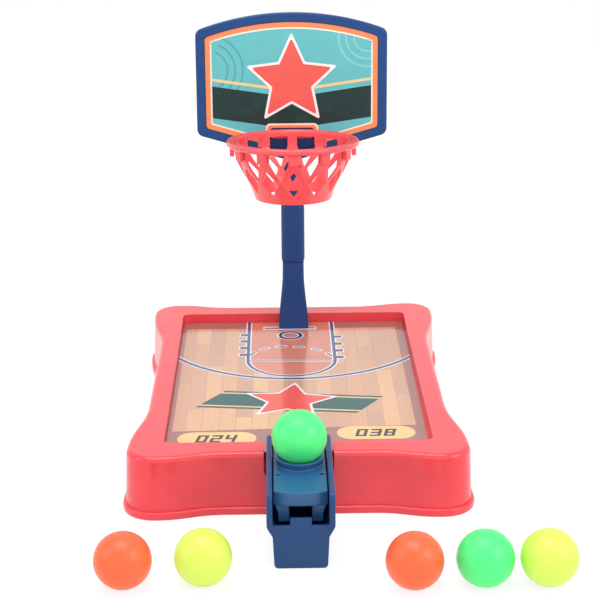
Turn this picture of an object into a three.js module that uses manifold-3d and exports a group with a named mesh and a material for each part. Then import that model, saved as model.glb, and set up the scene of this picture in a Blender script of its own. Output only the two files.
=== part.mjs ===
import * as THREE from 'three';
import { mergeVertices } from 'three/addons/utils/BufferGeometryUtils.js';
import Module from 'manifold-3d';

// Tabletop basketball game: a moulded tray with a court card, a raked post that carries a
// backboard, hoop and net, and a sprung launcher in the tray's front edge.
// Millimetres, +X right, +Y from the player to the hoop, +Z up. The origin is the centre of
// the tray's underside.

// Balls
const ballDiameter = 30;

// Tray outline, at the shoulder of its wall
const trayWaistWidth = 177;
const trayWaistLength = 254;
const sideBulge = 8;
const endBulge = 6;
const trayCornerRadius = 16;
const sideStraight = 102;
const endStraight = 84;

// Tray shell
const trayHeight = 36.5;
const wallDraft = 1.2;
const rimFillet = 4.2;
const shellWall = 2.4;
const sideRimWidth = 12.25;
const endRimWidth = 15.75;
const pocketDepth = 7.3;
const pocketCornerRadius = 4;

// Base plate under the shell
const plateEdgeHeight = 4.6;
const plateThickness = 2.4;
const plateStep = 1.8;
const plateEdgeRound = 1.4;
const plateBandWidth = 8;

// Screws that hold the plate to the shell
const screwSideInset = 22.5;
const screwEndInset = 29;
const screwHeadDiameter = 6.4;
const screwHeadHeight = 2;
const screwShankDiameter = 3;
const screwLength = 16;
const screwBossDiameter = 8.4;
const screwPadDiameter = 12.6;
const screwRecessDepth = 2.4;

// Court card
const cardThickness = 0.8;
const cardClearance = 0.4;

// Post and the mast's rake
const mastRake = THREE.MathUtils.degToRad(3.5);
const mastSetback = 14.25;
const postFootWidth = 20.2;
const postFootDepth = 12.6;
const postTopWidth = 14.4;
const postTopDepth = 11.4;
const postHeight = 46.7;
const postCornerRadius = 2.6;
const postTenonWidth = 13;
const postTenonDepth = 8.6;
const postTenonLength = 17;
const spigotWidth = 10.6;
const spigotDepth = 7.6;
const spigotLength = 26;

// Sleeve and neck above the post
const sleeveWidth = 15.8;
const sleeveDepth = 13.4;
const sleeveLength = 40.7;
const sleeveCornerRadius = 4.4;
const sleeveChamfer = 1.5;
const neckWidth = 12;
const neckDepth = 8;
const neckTop = 164;
const headFlangeWidth = 24;
const headFlangeThickness = 2.6;
const headFlangeLength = 38;

// Backboard
const boardWidth = 126;
const boardTop = 215.5;
const boardArcRadius = 177;
const boardSideLow = 135.3;
const boardApexLow = 117;
const boardCornerRadius = 5;
const boardThickness = 5.5;
const boardBorderWidth = 5.8;
const boardRecess = 1.6;
const boardEdgeBevel = 0.9;
const boardStandOff = 3;
const boardRailThickness = 3;
const boardRailLip = 2.6;
const boardRailLipThickness = 2.1;

// Hoop
const hoopOuterRadius = 42.5;
const hoopBandWidth = 5;
const hoopBandHeight = 4;
const hoopBandRound = 1.8;
const hoopTop = 139.4;
const hoopBoardGap = 2;
const hoopLugCount = 12;
const hoopLugWidth = 6.2;
const hoopLugThickness = 2.8;
const hoopLugDrop = 6.4;
const bracketWidth = 28;
const bracketHeight = 5.4;
const bracketDrop = 0.8;
const bracketThickness = 2.8;
const cardNotchWidth = 29.6;
const cardNotchRise = 1.2;
const tongueWidth = 24.2;
const tongueHeight = 3.4;

// Net
const netStrapCount = 12;
const netSidesPerStrap = 3;
const netRimInset = 0.6;
const netHeight = 37.5;
const netWall = 1.8;
const netStrapWidth = 6.6;
const netStrandWidth = 3.8;

// Launcher housing
const launcherWidth = 35.9;
const launcherFootWidth = 29.6;
const launcherFootBase = 28;
const launcherHeight = 42.7;
const launcherReach = 67;
const launcherTail = 13.4;
const launcherWall = 2.4;
const launcherRailWall = 3.2;
const launcherFloor = 2.4;
const launcherStepLow = 18.2;
const launcherStepHigh = 23.6;
const launcherFrontWallTop = 24.6;
const launcherCornerRadius = 1.6;
const launcherBaseRound = 2.6;
const launcherShoulderRound = 0.8;
const launcherRailRound = 4;
const launcherBackRound = 5;
const tongueGuideWidth = 11.3;
const tongueGuideRise = 4.2;
const notchClearance = 0.8;
const notchSideClearance = 1.5;

// Launch lever
const leverWidth = 28.4;
const leverTop = 40;
const leverPlate = 2.4;
const leverSkirt = 7.6;
const leverLipInset = 7;
const leverLipSagitta = 2.8;
const leverLipThickness = 3;
const leverLegDrop = 10;
const leverLegThickness = 2.2;
const leverLegGap = 11.8;
const leverSkirtWall = 2;
const leverHoleDiameter = 2.4;
const leverHoleInset = 31;
const cupInset = 33.9;
const cupRimRadius = 13.2;
const cupBaseRadius = 12.2;
const cupHeight = 4.2;
const cupRimRound = 0.8;
const cupFloor = 1.8;

// Lever pin
const pinDiameter = 3;
const pinInset = 6.4;
const pinZ = 30.5;
const barrelRadius = 3.7;
const pinRunningClearance = 0.1;

// Lever spring
const springWire = 1;
const springRadius = 4;
const springTurns = 8;
const springPocketClearance = 0.4;
const springPocketWall = 1.6;
const springPocketHeight = 15;
const springPegRadius = 2.4;
const springPegLength = 3;

// Fits
const seatGap = 0.3;
const cutOverrun = 1;

// Places of the loose balls on the table, ahead of the launcher's front
const looseBalls = {
  ball_orange_left: { colour: 'orange', x: -91.2, ahead: 16.5 },
  ball_yellow_left: { colour: 'yellow', x: -50.3, ahead: 14.3 },
  ball_orange_right: { colour: 'orange', x: 57.3, ahead: 20.9 },
  ball_green_right: { colour: 'green', x: 93.5, ahead: 19.3 },
  ball_yellow_right: { colour: 'yellow', x: 126.2, ahead: 19.4 },
};

// Curve steps
const cornerSteps = 4;
const trayCurveSteps = 6;
const boardArcSteps = 10;
const lipArcSteps = 10;
const springStepsPerTurn = 8;
const springSides = 5;
const roundSides = 24;
const hoopSides = 48;
const ballSides = 20;
const ballRings = 10;

// Finishes
const redPlastic = new THREE.MeshStandardMaterial({ color: 0xe8505a, roughness: 0.38, metalness: 0 });
const hoopPlastic = new THREE.MeshStandardMaterial({ color: 0xf4535a, roughness: 0.34, metalness: 0 });
const bluePlastic = new THREE.MeshStandardMaterial({ color: 0x36568c, roughness: 0.42, metalness: 0 });
const courtCardStock = new THREE.MeshStandardMaterial({ color: 0xdcb58f, roughness: 0.3, metalness: 0 });
const boardCardStock = new THREE.MeshStandardMaterial({ color: 0x6ec3c8, roughness: 0.3, metalness: 0 });
const steel = new THREE.MeshStandardMaterial({ color: 0xb9bcc0, roughness: 0.35, metalness: 1 });
const ballPlastics = {
  green: new THREE.MeshStandardMaterial({ color: 0x5aff8c, roughness: 0.4, metalness: 0 }),
  yellow: new THREE.MeshStandardMaterial({ color: 0xebff5a, roughness: 0.4, metalness: 0 }),
  orange: new THREE.MeshStandardMaterial({ color: 0xff6e3c, roughness: 0.4, metalness: 0 }),
};

const wasm = await Module();
wasm.setup();

// Solids from closed meshes

function solidOf(geometry) {
  const bare = geometry.clone();
  bare.deleteAttribute('normal');
  bare.deleteAttribute('uv');
  const merged = mergeVertices(bare);
  const position = merged.attributes.position;
  const corners = [];
  let volume = 0;
  for (let i = 0; i < merged.index.count; i += 3) {
    const [a, b, c] = [merged.index.getX(i), merged.index.getX(i + 1), merged.index.getX(i + 2)];
    if (a === b || b === c || c === a) continue;
    corners.push([a, b, c]);
    const [p, q, r] = [a, b, c].map((k) => new THREE.Vector3().fromBufferAttribute(position, k));
    volume += p.dot(q.cross(r));
  }
  const outward = volume > 0 ? corners : corners.map(([a, b, c]) => [a, c, b]);
  const vertProperties = Float32Array.from(position.array);
  const triVerts = Uint32Array.from(outward.flat());
  return new wasm.Manifold(new wasm.Mesh({ numProp: 3, vertProperties, triVerts }));
}

function geometryOf(solid) {
  const { vertProperties, triVerts, numProp } = solid.getMesh();
  const geometry = new THREE.BufferGeometry();
  const places = new Float32Array((vertProperties.length / numProp) * 3);
  for (let i = 0; i < places.length / 3; i += 1) {
    places.set(vertProperties.subarray(i * numProp, i * numProp + 3), i * 3);
  }
  geometry.setAttribute('position', new THREE.BufferAttribute(places, 3));
  geometry.setIndex(new THREE.BufferAttribute(Uint32Array.from(triVerts), 1));
  const faceted = geometry.toNonIndexed();
  faceted.computeVertexNormals();
  return faceted;
}

const joined = (first, ...others) => others.reduce((sum, next) => sum.add(next), first);
const cut = (first, ...others) => others.reduce((rest, next) => rest.subtract(next), first);

// Outlines, as counter-clockwise lists of points

function roundedOutline(corners, radii) {
  const points = [];
  corners.forEach((corner, index) => {
    const radius = Array.isArray(radii) ? radii[index] : radii;
    if (radius <= 0) {
      points.push(corner.clone());
      return;
    }
    const toBefore = corners.at(index - 1).clone().sub(corner).normalize();
    const toAfter = corners[(index + 1) % corners.length].clone().sub(corner).normalize();
    const half = Math.acos(THREE.MathUtils.clamp(toBefore.dot(toAfter), -1, 1)) / 2;
    const start = corner.clone().addScaledVector(toBefore, radius / Math.tan(half));
    const toCentre = toBefore.clone().add(toAfter).normalize();
    const centre = corner.clone().addScaledVector(toCentre, radius / Math.sin(half));
    const turn = (Math.PI - 2 * half) * Math.sign(toAfter.cross(toBefore));
    for (let step = 0; step <= cornerSteps; step += 1) {
      points.push(start.clone().rotateAround(centre, (turn * step) / cornerSteps));
    }
  });
  return points;
}

function rectangle(lowX, highX, lowY, highY, radii = 0) {
  const corners = [[lowX, lowY], [highX, lowY], [highX, highY], [lowX, highY]];
  return roundedOutline(corners.map(([x, y]) => new THREE.Vector2(x, y)), radii);
}

const centredRectangle = (width, height, radii = 0) =>
  rectangle(-width / 2, width / 2, -height / 2, height / 2, radii);

function offsetOutline(points, distance) {
  return points.map((point, index) => {
    const edgeIn = point.clone().sub(points.at(index - 1)).normalize();
    const edgeOut = points[(index + 1) % points.length].clone().sub(point).normalize();
    const normalIn = new THREE.Vector2(edgeIn.y, -edgeIn.x);
    const normalOut = new THREE.Vector2(edgeOut.y, -edgeOut.x);
    const reach = distance / (1 + normalIn.dot(normalOut));
    return point.clone().add(normalIn.add(normalOut).multiplyScalar(reach));
  });
}

const shifted = (points, x, y) => points.map((point) => new THREE.Vector2(point.x + x, point.y + y));

// Solids from outlines

function loft(sections) {
  const count = sections[0].outline.length;
  const places = [];
  const faces = [];
  sections.forEach(({ outline, z }) => outline.forEach((point) => places.push(point.x, point.y, z)));
  for (let level = 0; level + 1 < sections.length; level += 1) {
    for (let i = 0; i < count; i += 1) {
      const a = level * count + i;
      const b = level * count + ((i + 1) % count);
      faces.push(a, b, b + count, a, b + count, a + count);
    }
  }
  const top = (sections.length - 1) * count;
  THREE.ShapeUtils.triangulateShape(sections[0].outline, []).forEach(([a, b, c]) => faces.push(c, b, a));
  THREE.ShapeUtils.triangulateShape(sections.at(-1).outline, [])
    .forEach(([a, b, c]) => faces.push(top + a, top + b, top + c));
  const geometry = new THREE.BufferGeometry();
  geometry.setAttribute('position', new THREE.Float32BufferAttribute(places, 3));
  geometry.setIndex(faces);
  return geometry;
}

const prism = (outline, low, high) => loft([{ outline, z: low }, { outline, z: high }]);
const alongZ = (outline, low, high) => solidOf(prism(outline, low, high));

// An outline given as (y, z), drawn out along X
const xFromOutline = new THREE.Matrix4().makeBasis(
  new THREE.Vector3(0, 1, 0), new THREE.Vector3(0, 0, 1), new THREE.Vector3(1, 0, 0));
const alongX = (outline, low, high) => solidOf(prism(outline, low, high).applyMatrix4(xFromOutline));

// An outline given as (x, z), drawn out along Y
const yFromOutline = new THREE.Matrix4().makeBasis(
  new THREE.Vector3(1, 0, 0), new THREE.Vector3(0, 0, 1), new THREE.Vector3(0, -1, 0));
const alongY = (outline, low, high) => solidOf(prism(outline, -high, -low).applyMatrix4(yFromOutline));

function block([lowX, highX], [lowY, highY], [lowZ, highZ]) {
  return alongZ(rectangle(lowX, highX, lowY, highY), lowZ, highZ);
}

function turned(profile, sides) {
  const points = profile.map(([radius, height]) => new THREE.Vector2(radius, height));
  return new THREE.LatheGeometry(points, sides).rotateX(Math.PI / 2);
}

const drumZ = (radius, low, high, sides = roundSides) =>
  solidOf(turned([[0, low], [radius, low], [radius, high], [0, high]], sides));

const rodAlongX = (radius, length) =>
  new THREE.CylinderGeometry(radius, radius, length, roundSides).rotateZ(Math.PI / 2);

// Tray outline: waisted sides and ends that swell to four rounded corners

const halfWaistWidth = trayWaistWidth / 2;
const halfWaistLength = trayWaistLength / 2;
const pocketWidth = trayWaistWidth - 2 * sideRimWidth;
const pocketLength = trayWaistLength - 2 * endRimWidth;
const launcherFront = halfWaistLength + launcherReach;
const launcherBack = halfWaistLength - launcherTail;
const swellShare = 0.45;
const circleShare = 0.5523;

function trayQuarter() {
  const side = halfWaistWidth + sideBulge;
  const end = halfWaistLength + endBulge;
  const cornerY = end - trayCornerRadius;
  const cornerX = side - trayCornerRadius;
  const sideRun = cornerY - sideStraight / 2;
  const endRun = cornerX - endStraight / 2;
  const path = new THREE.Path();
  path.moveTo(halfWaistWidth, sideStraight / 2);
  path.bezierCurveTo(
    halfWaistWidth, sideStraight / 2 + sideRun * swellShare,
    side, cornerY - sideRun * swellShare, side, cornerY);
  path.bezierCurveTo(
    side, cornerY + trayCornerRadius * circleShare,
    cornerX + trayCornerRadius * circleShare, end, cornerX, end);
  path.bezierCurveTo(
    cornerX - endRun * swellShare, end,
    endStraight / 2 + endRun * swellShare, halfWaistLength, endStraight / 2, halfWaistLength);
  return path.getPoints(trayCurveSteps);
}

function trayOutline(grow) {
  const quarter = trayQuarter();
  const mirrored = (signX, signY) => quarter.map((p) => new THREE.Vector2(p.x * signX, p.y * signY));
  const outline = [
    ...mirrored(1, 1), ...mirrored(-1, 1).reverse(), ...mirrored(-1, -1), ...mirrored(1, -1).reverse()];
  return offsetOutline(outline, grow);
}

// Levels of the tray
const shellBottom = plateEdgeHeight;
const pocketFloor = trayHeight - pocketDepth;
const pocketFloorUnderside = pocketFloor - shellWall;
const courtTop = pocketFloor + cardThickness;
const screwPlaces = [[1, 1], [-1, 1], [-1, -1], [1, -1]].map(([signX, signY]) =>
  [signX * (halfWaistWidth - screwSideInset), signY * (halfWaistLength - screwEndInset)]);

function shellSections(inset, low, high) {
  const shoulder = high - rimFillet;
  const sections = [
    { outline: trayOutline(wallDraft - inset), z: low },
    { outline: trayOutline(-inset), z: shoulder }];
  for (let step = 1; step <= cornerSteps; step += 1) {
    const angle = (Math.PI / 2) * (step / cornerSteps);
    const draw = rimFillet * (1 - Math.cos(angle));
    sections.push({ outline: trayOutline(-inset - draw), z: shoulder + rimFillet * Math.sin(angle) });
  }
  return sections;
}

// Mast: everything on the post is built upright from its foot, then raked back as one
const mast = new THREE.Group();
mast.position.set(0, pocketLength / 2 - mastSetback, courtTop);
mast.rotation.x = -mastRake;
mast.updateMatrixWorld();

const postOutline = (width, depth, radius) => rectangle(-width / 2, width / 2, 0, depth, radius);
const tenonOutline = (grow) => shifted(
  centredRectangle(postTenonWidth + 2 * grow, postTenonDepth + 2 * grow, postCornerRadius / 2),
  0, postFootDepth / 2);
const spigotOutline = (grow) => shifted(
  centredRectangle(spigotWidth + 2 * grow, spigotDepth + 2 * grow, postCornerRadius / 2),
  0, postTopDepth / 2);

// Launcher section across the tray, shared by the housing and by the slot that takes it
function launcherSection(grow) {
  const half = launcherWidth / 2;
  const footHalf = launcherFootWidth / 2;
  const baseHalf = launcherFootBase / 2;
  const rightSide = [
    [baseHalf, 0], [footHalf, launcherStepLow], [half, launcherStepHigh], [half, launcherHeight]];
  const leftSide = rightSide.map(([x, z]) => [-x, z]).reverse();
  const corners = [...rightSide, ...leftSide].map(([x, z]) => new THREE.Vector2(x, z));
  return offsetOutline(corners, grow);
}

function baseShell() {
  const outer = solidOf(loft(shellSections(0, shellBottom, trayHeight)));
  const inner = solidOf(loft(shellSections(shellWall, shellBottom - cutOverrun, trayHeight - shellWall)));
  const pocketOutline = (grow) => centredRectangle(
    pocketWidth + 2 * grow, pocketLength + 2 * grow, pocketCornerRadius + grow);
  const pocketFloorBlock = alongZ(pocketOutline(shellWall), pocketFloorUnderside, trayHeight);
  const notchBack = -pocketLength / 2 + cutOverrun;
  const notchFront = -(halfWaistLength + endBulge + plateStep + cutOverrun);
  const slotWall = alongY(launcherSection(notchClearance + shellWall), notchFront, notchBack + shellWall);
  const slotHalf = launcherWidth / 2 + notchSideClearance;
  const slotRoof = block(
    [-slotHalf - shellWall, slotHalf + shellWall],
    [notchFront, notchBack + shellWall], [launcherStepHigh, trayHeight]);
  const socketWall = solidOf(prism(
    offsetOutline(tenonOutline(seatGap), shellWall), -postTenonLength - shellWall, 0)
    .applyMatrix4(mast.matrixWorld));
  const bosses = screwPlaces.map(([x, y]) =>
    solidOf(turned([[0, shellBottom], [screwBossDiameter / 2, shellBottom],
      [screwBossDiameter / 2, pocketFloor], [0, pocketFloor]], roundSides / 2).translate(x, y, 0)));
  const hollow = cut(inner, pocketFloorBlock, slotWall, slotRoof, socketWall, ...bosses);
  const pocket = alongZ(pocketOutline(0), pocketFloor, trayHeight + cutOverrun);
  const slot = joined(
    alongY(launcherSection(notchClearance), notchFront, notchBack),
    block([-slotHalf, slotHalf], [notchFront, notchBack], [launcherStepHigh, trayHeight + cutOverrun]));
  const socket = solidOf(prism(tenonOutline(seatGap), -postTenonLength - seatGap, cutOverrun)
    .applyMatrix4(mast.matrixWorld));
  const bores = screwPlaces.map(([x, y]) => solidOf(
    turned([[0, 0], [screwShankDiameter / 2 + seatGap, 0],
      [screwShankDiameter / 2 + seatGap, screwLength + cutOverrun], [0, screwLength + cutOverrun]],
    roundSides / 2).translate(x, y, 0)));
  return cut(outer, hollow, pocket, slot, socket, ...bores);
}

function basePlate() {
  const grow = wallDraft + plateStep;
  const body = solidOf(loft([
    { outline: trayOutline(grow - plateEdgeRound / 2), z: 0 },
    { outline: trayOutline(grow), z: plateEdgeRound },
    { outline: trayOutline(grow), z: plateEdgeHeight - plateEdgeRound },
    { outline: trayOutline(grow - plateEdgeRound), z: plateEdgeHeight }]));
  const recess = alongZ(
    trayOutline(-plateBandWidth), plateThickness, plateEdgeHeight + cutOverrun);
  const pads = screwPlaces.map(([x, y]) => solidOf(
    turned([[0, plateThickness - cutOverrun], [screwPadDiameter / 2, plateThickness - cutOverrun],
      [screwPadDiameter / 2, plateEdgeHeight], [0, plateEdgeHeight]], roundSides / 2)
      .translate(x, y, 0)));
  const slotBack = -pocketLength / 2 + cutOverrun;
  const slotFront = -(halfWaistLength + endBulge + plateStep + cutOverrun);
  const slotOutline = rectangle(
    -launcherFootWidth / 2 - notchClearance, launcherFootWidth / 2 + notchClearance, slotFront, slotBack);
  const slotCurb = alongZ(offsetOutline(slotOutline, shellWall * 2), plateThickness, plateEdgeHeight);
  const slot = alongZ(slotOutline, -cutOverrun, plateEdgeHeight + cutOverrun);
  const bores = screwPlaces.flatMap(([x, y]) => [
    solidOf(turned([[0, -cutOverrun], [screwHeadDiameter / 2 + seatGap, -cutOverrun],
      [screwHeadDiameter / 2 + seatGap, screwRecessDepth], [0, screwRecessDepth]], roundSides / 2)
      .translate(x, y, 0)),
    solidOf(turned([[0, 0], [screwShankDiameter / 2 + seatGap, 0],
      [screwShankDiameter / 2 + seatGap, plateEdgeHeight + cutOverrun],
      [0, plateEdgeHeight + cutOverrun]], roundSides / 2).translate(x, y, 0))]);
  const padded = joined(cut(body, recess), ...pads, slotCurb.intersect(body));
  return cut(padded, slot, ...bores);
}

function baseScrew() {
  const headTop = screwRecessDepth - seatGap;
  const headBottom = headTop - screwHeadHeight;
  const shank = screwShankDiameter / 2;
  return turned([
    [0, headBottom], [screwHeadDiameter / 2 - seatGap, headBottom],
    [screwHeadDiameter / 2, headBottom + seatGap], [screwHeadDiameter / 2, headTop],
    [shank, headTop], [shank, screwLength - shank], [0, screwLength]], roundSides / 2);
}

function courtCard() {
  const outline = centredRectangle(
    pocketWidth - 2 * cardClearance, pocketLength - 2 * cardClearance, pocketCornerRadius);
  const sheet = alongZ(outline, pocketFloor, courtTop);
  const postHole = solidOf(prism(tenonOutline(seatGap), -cardThickness - cutOverrun, cutOverrun)
    .applyMatrix4(mast.matrixWorld));
  return cut(sheet, postHole);
}

// Post, sleeve and neck

function lowerPost() {
  const heightShares = [0, 0.13, 0.22, 0.62, 0.74, 1];
  const flareShares = [1, 0.98, 0.87, 0.2, 0.05, 0];
  const column = solidOf(loft(heightShares.map((share, index) => ({
    outline: postOutline(
      THREE.MathUtils.lerp(postTopWidth, postFootWidth, flareShares[index]),
      THREE.MathUtils.lerp(postTopDepth, postFootDepth, flareShares[index]), postCornerRadius),
    z: (postHeight + cutOverrun) * share - cutOverrun }))));
  const belowCourt = solidOf(
    prism(centredRectangle(pocketWidth, pocketLength), pocketFloor - cutOverrun, courtTop + seatGap)
      .applyMatrix4(mast.matrixWorld.clone().invert()));
  const tenon = solidOf(prism(tenonOutline(0), -postTenonLength, postFootDepth / 2));
  const spigot = solidOf(prism(spigotOutline(0), postHeight - cutOverrun, postHeight + spigotLength));
  return joined(cut(column, belowCourt), tenon, spigot);
}

function upperPost() {
  const low = postHeight + seatGap;
  const high = low + sleeveLength;
  const centreY = postTopDepth / 2;
  const sleeveOutline = (inset) => shifted(
    offsetOutline(centredRectangle(sleeveWidth, sleeveDepth, sleeveCornerRadius), -inset), 0, centreY);
  const neckCentreY = boardStandBack() + seatGap + headFlangeThickness / 2 + neckDepth / 2;
  const neckOutline = shifted(centredRectangle(neckWidth, neckDepth, postCornerRadius / 2), 0, neckCentreY);
  const shoulderShares = [{ drop: 2, inset: 0 }, { drop: 0.8, inset: 0.4 }, { drop: 0, inset: 1.2 }];
  const sleeve = solidOf(loft([
    { outline: sleeveOutline(sleeveChamfer / 2), z: low },
    { outline: sleeveOutline(0), z: low + sleeveChamfer },
    ...shoulderShares.map(({ drop, inset }) => (
      { outline: sleeveOutline(sleeveChamfer * inset), z: high - sleeveChamfer * drop }))]));
  const neck = solidOf(prism(neckOutline, high - cutOverrun, neckTop));
  const flangeY = boardStandBack() + seatGap;
  const flange = block(
    [-headFlangeWidth / 2, headFlangeWidth / 2], [flangeY, flangeY + headFlangeThickness],
    [neckTop - headFlangeLength, neckTop]);
  const bore = solidOf(prism(spigotOutline(seatGap), low - cutOverrun, low + spigotLength + seatGap));
  return cut(joined(sleeve, neck, flange), bore);
}

// Backboard: its front face stands before the post's, and its back carries two rails

function boardStandBack() {
  return boardThickness - boardStandOff;
}

function boardOutline(inset, radius) {
  const half = boardWidth / 2;
  const arcCentre = boardTop - boardArcRadius;
  const arcSpan = Math.asin(half / boardArcRadius);
  const corners = [
    new THREE.Vector2(-half, boardSideLow), new THREE.Vector2(0, boardApexLow),
    new THREE.Vector2(half, boardSideLow)];
  for (let step = 0; step <= boardArcSteps; step += 1) {
    const angle = arcSpan * (1 - (2 * step) / boardArcSteps);
    corners.push(new THREE.Vector2(
      boardArcRadius * Math.sin(angle), arcCentre + boardArcRadius * Math.cos(angle)));
  }
  const sideCorners = [0, 2, 3, corners.length - 1];
  const radii = corners.map((_, index) => (sideCorners.includes(index) ? radius : 0));
  return roundedOutline(offsetOutline(corners, -inset), radii);
}

// The hoop's tongue goes through a slot in the board, inside a notch in the card
const bracketTop = hoopTop - bracketDrop;
const bracketLow = bracketTop - bracketHeight;
const tongueLow = bracketLow + (bracketHeight - tongueHeight) / 2;
const recessFloor = -boardStandOff + boardRecess;

function backboardFrame() {
  const front = -boardStandOff;
  const back = boardStandBack();
  const level = (y, inset) => ({ outline: boardOutline(inset, boardCornerRadius), z: -y });
  const slab = solidOf(loft([
    level(back, boardEdgeBevel / 2), level(back - boardEdgeBevel / 2, 0),
    level(front + boardEdgeBevel, 0), level(front, boardEdgeBevel)]).applyMatrix4(yFromOutline));
  const recess = alongY(
    boardOutline(boardBorderWidth, boardCornerRadius / 2), front - cutOverrun, recessFloor);
  const slot = block(
    [-tongueWidth / 2 - seatGap, tongueWidth / 2 + seatGap], [front, back + cutOverrun],
    [tongueLow - seatGap, tongueLow + tongueHeight + seatGap]);
  const railInner = headFlangeWidth / 2 + seatGap;
  const railOuter = railInner + boardRailThickness;
  const lipLow = back + seatGap * 2 + headFlangeThickness;
  const lipHigh = lipLow + boardRailLipThickness;
  const railLow = neckTop - headFlangeLength;
  const rails = [-1, 1].flatMap((side) => {
    const span = (low, high) => [Math.min(side * low, side * high), Math.max(side * low, side * high)];
    return [
      block(span(railInner, railOuter), [back - cutOverrun, lipHigh], [railLow, neckTop + seatGap]),
      block(span(railInner - boardRailLip, railOuter), [lipLow, lipHigh], [railLow, neckTop + seatGap])];
  });
  const stop = block(
    [-railOuter, railOuter], [back - cutOverrun, lipHigh],
    [neckTop + seatGap, neckTop + seatGap + boardRailThickness]);
  return joined(cut(slab, recess, slot), ...rails, stop);
}

function backboardCard() {
  const back = recessFloor - seatGap;
  const front = back - cardThickness;
  const sheet = alongY(
    boardOutline(boardBorderWidth + cardClearance, boardCornerRadius / 2), front, back);
  const notch = alongY(
    rectangle(-cardNotchWidth / 2, cardNotchWidth / 2, boardApexLow - cutOverrun,
      bracketTop + cardNotchRise, [0, 0, postCornerRadius, postCornerRadius]),
    front - cutOverrun, back + cutOverrun);
  return cut(sheet, notch);
}

// Hoop and net

const hoopCentreY = -boardStandOff - hoopBoardGap - hoopOuterRadius;
const hoopInnerRadius = hoopOuterRadius - hoopBandWidth;
const netTopRadius = hoopInnerRadius - seatGap;

function hoopRing() {
  const low = hoopTop - hoopBandHeight;
  const section = rectangle(hoopInnerRadius, hoopOuterRadius, low, hoopTop, hoopBandRound);
  const ring = solidOf(turned([...section, section[0]].map((p) => [p.x, p.y]), hoopSides));
  const lugs = Array.from({ length: hoopLugCount }, (_, index) => {
    const lug = block(
      [hoopInnerRadius, hoopInnerRadius + hoopLugThickness], [-hoopLugWidth / 2, hoopLugWidth / 2],
      [low - hoopLugDrop, low + hoopBandHeight / 2]);
    return lug.rotate([0, 0, (index * 360) / hoopLugCount + 90]);
  });
  const round = joined(ring, ...lugs).translate([0, hoopCentreY, 0]);
  const plateBack = recessFloor - seatGap;
  const plateFront = -boardStandOff - bracketThickness;
  const plate = alongY(
    rectangle(-bracketWidth / 2, bracketWidth / 2, bracketLow, bracketTop,
      [hoopBandRound, hoopBandRound, 0, 0]), plateFront, plateBack);
  const tongue = block(
    [-tongueWidth / 2, tongueWidth / 2], [plateBack - cutOverrun, boardStandBack() - seatGap],
    [tongueLow, tongueLow + tongueHeight]);
  const root = block(
    [-bracketWidth / 2, bracketWidth / 2], [hoopCentreY + hoopInnerRadius, plateFront + cutOverrun],
    [low, bracketTop]);
  const throat = drumZ(hoopOuterRadius - hoopBandWidth / 2, low - cutOverrun,
    hoopTop + cutOverrun, hoopSides).translate([0, hoopCentreY, 0]);
  return joined(round, cut(root, throat), plate, tongue);
}

// The net is one moulded lattice: twelve straps that each part into two crossing strands
const netTop = hoopTop - netRimInset;
const netHeightShares = [0, 0.19, 0.28, 0.39, 0.52, 0.65, 0.78, 0.9, 1];
const netRadiusShares = [1, 1, 0.985, 0.94, 0.873, 0.8, 0.735, 0.69, 0.655];

function hoopNet() {
  const outer = netHeightShares.map((share, index) =>
    [netTopRadius * netRadiusShares[index], netTop - netHeight * share]);
  const innerWall = outer.map(([radius, height]) => [radius - netWall, height]).reverse();
  const wall = solidOf(turned([...outer, ...innerWall, outer[0]], netStrapCount * netSidesPerStrap));
  const pitch = (2 * Math.PI) / netStrapCount;
  const radiusAt = (share) => {
    const next = Math.max(1, netHeightShares.findIndex((value) => value >= share));
    const span = netHeightShares[next] - netHeightShares[next - 1];
    const part = (share - netHeightShares[next - 1]) / span;
    return netTopRadius * THREE.MathUtils.lerp(netRadiusShares[next - 1], netRadiusShares[next], part);
  };
  const halfGapAt = (share, solidWidth) => radiusAt(share) * Math.sin(pitch / 2) - solidWidth / 2;
  const upperShares = { top: 0.09, shoulder: 0.26, point: 0.6 };
  const lowerShares = { top: 0.4, middle: 0.624, point: 0.853 };
  const at = (x, share) => new THREE.Vector2(x, netTop - netHeight * share);
  const upper = [
    at(-halfGapAt(upperShares.top, netStrapWidth), upperShares.top),
    at(-halfGapAt(upperShares.shoulder, netStrapWidth), upperShares.shoulder),
    at(0, upperShares.point),
    at(halfGapAt(upperShares.shoulder, netStrapWidth), upperShares.shoulder),
    at(halfGapAt(upperShares.top, netStrapWidth), upperShares.top)];
  const lower = [
    at(0, lowerShares.top),
    at(-halfGapAt(lowerShares.middle, netStrandWidth), lowerShares.middle),
    at(0, lowerShares.point),
    at(halfGapAt(lowerShares.middle, netStrandWidth), lowerShares.middle)];
  const windowAt = (outline, angle) =>
    alongY(outline, -netTopRadius - cutOverrun, -netTopRadius / 2).rotate([0, 0, angle]);
  const cutters = Array.from({ length: netStrapCount }, (_, index) => {
    const angle = (index * 360) / netStrapCount;
    return [windowAt(upper, angle + 180 / netStrapCount), windowAt(lower, angle)];
  }).flat();
  return cut(wall, ...cutters).translate([0, hoopCentreY, 0]);
}

// Launcher

const leverLipFront = launcherFront - leverLipInset;
const leverHoleY = launcherFront - leverHoleInset;
const cupY = launcherBack + cupInset;
const pinY = launcherBack + pinInset;
const leverLow = leverTop - leverSkirt;
const cupZ = leverTop + cupHeight;
const loadedBallZ = leverTop - leverPlate + cupFloor + seatGap + ballDiameter / 2;

// The spring stands in a moulded pocket under the cup
const springPocketRadius = springRadius + springWire / 2 + springPocketClearance;

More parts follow.
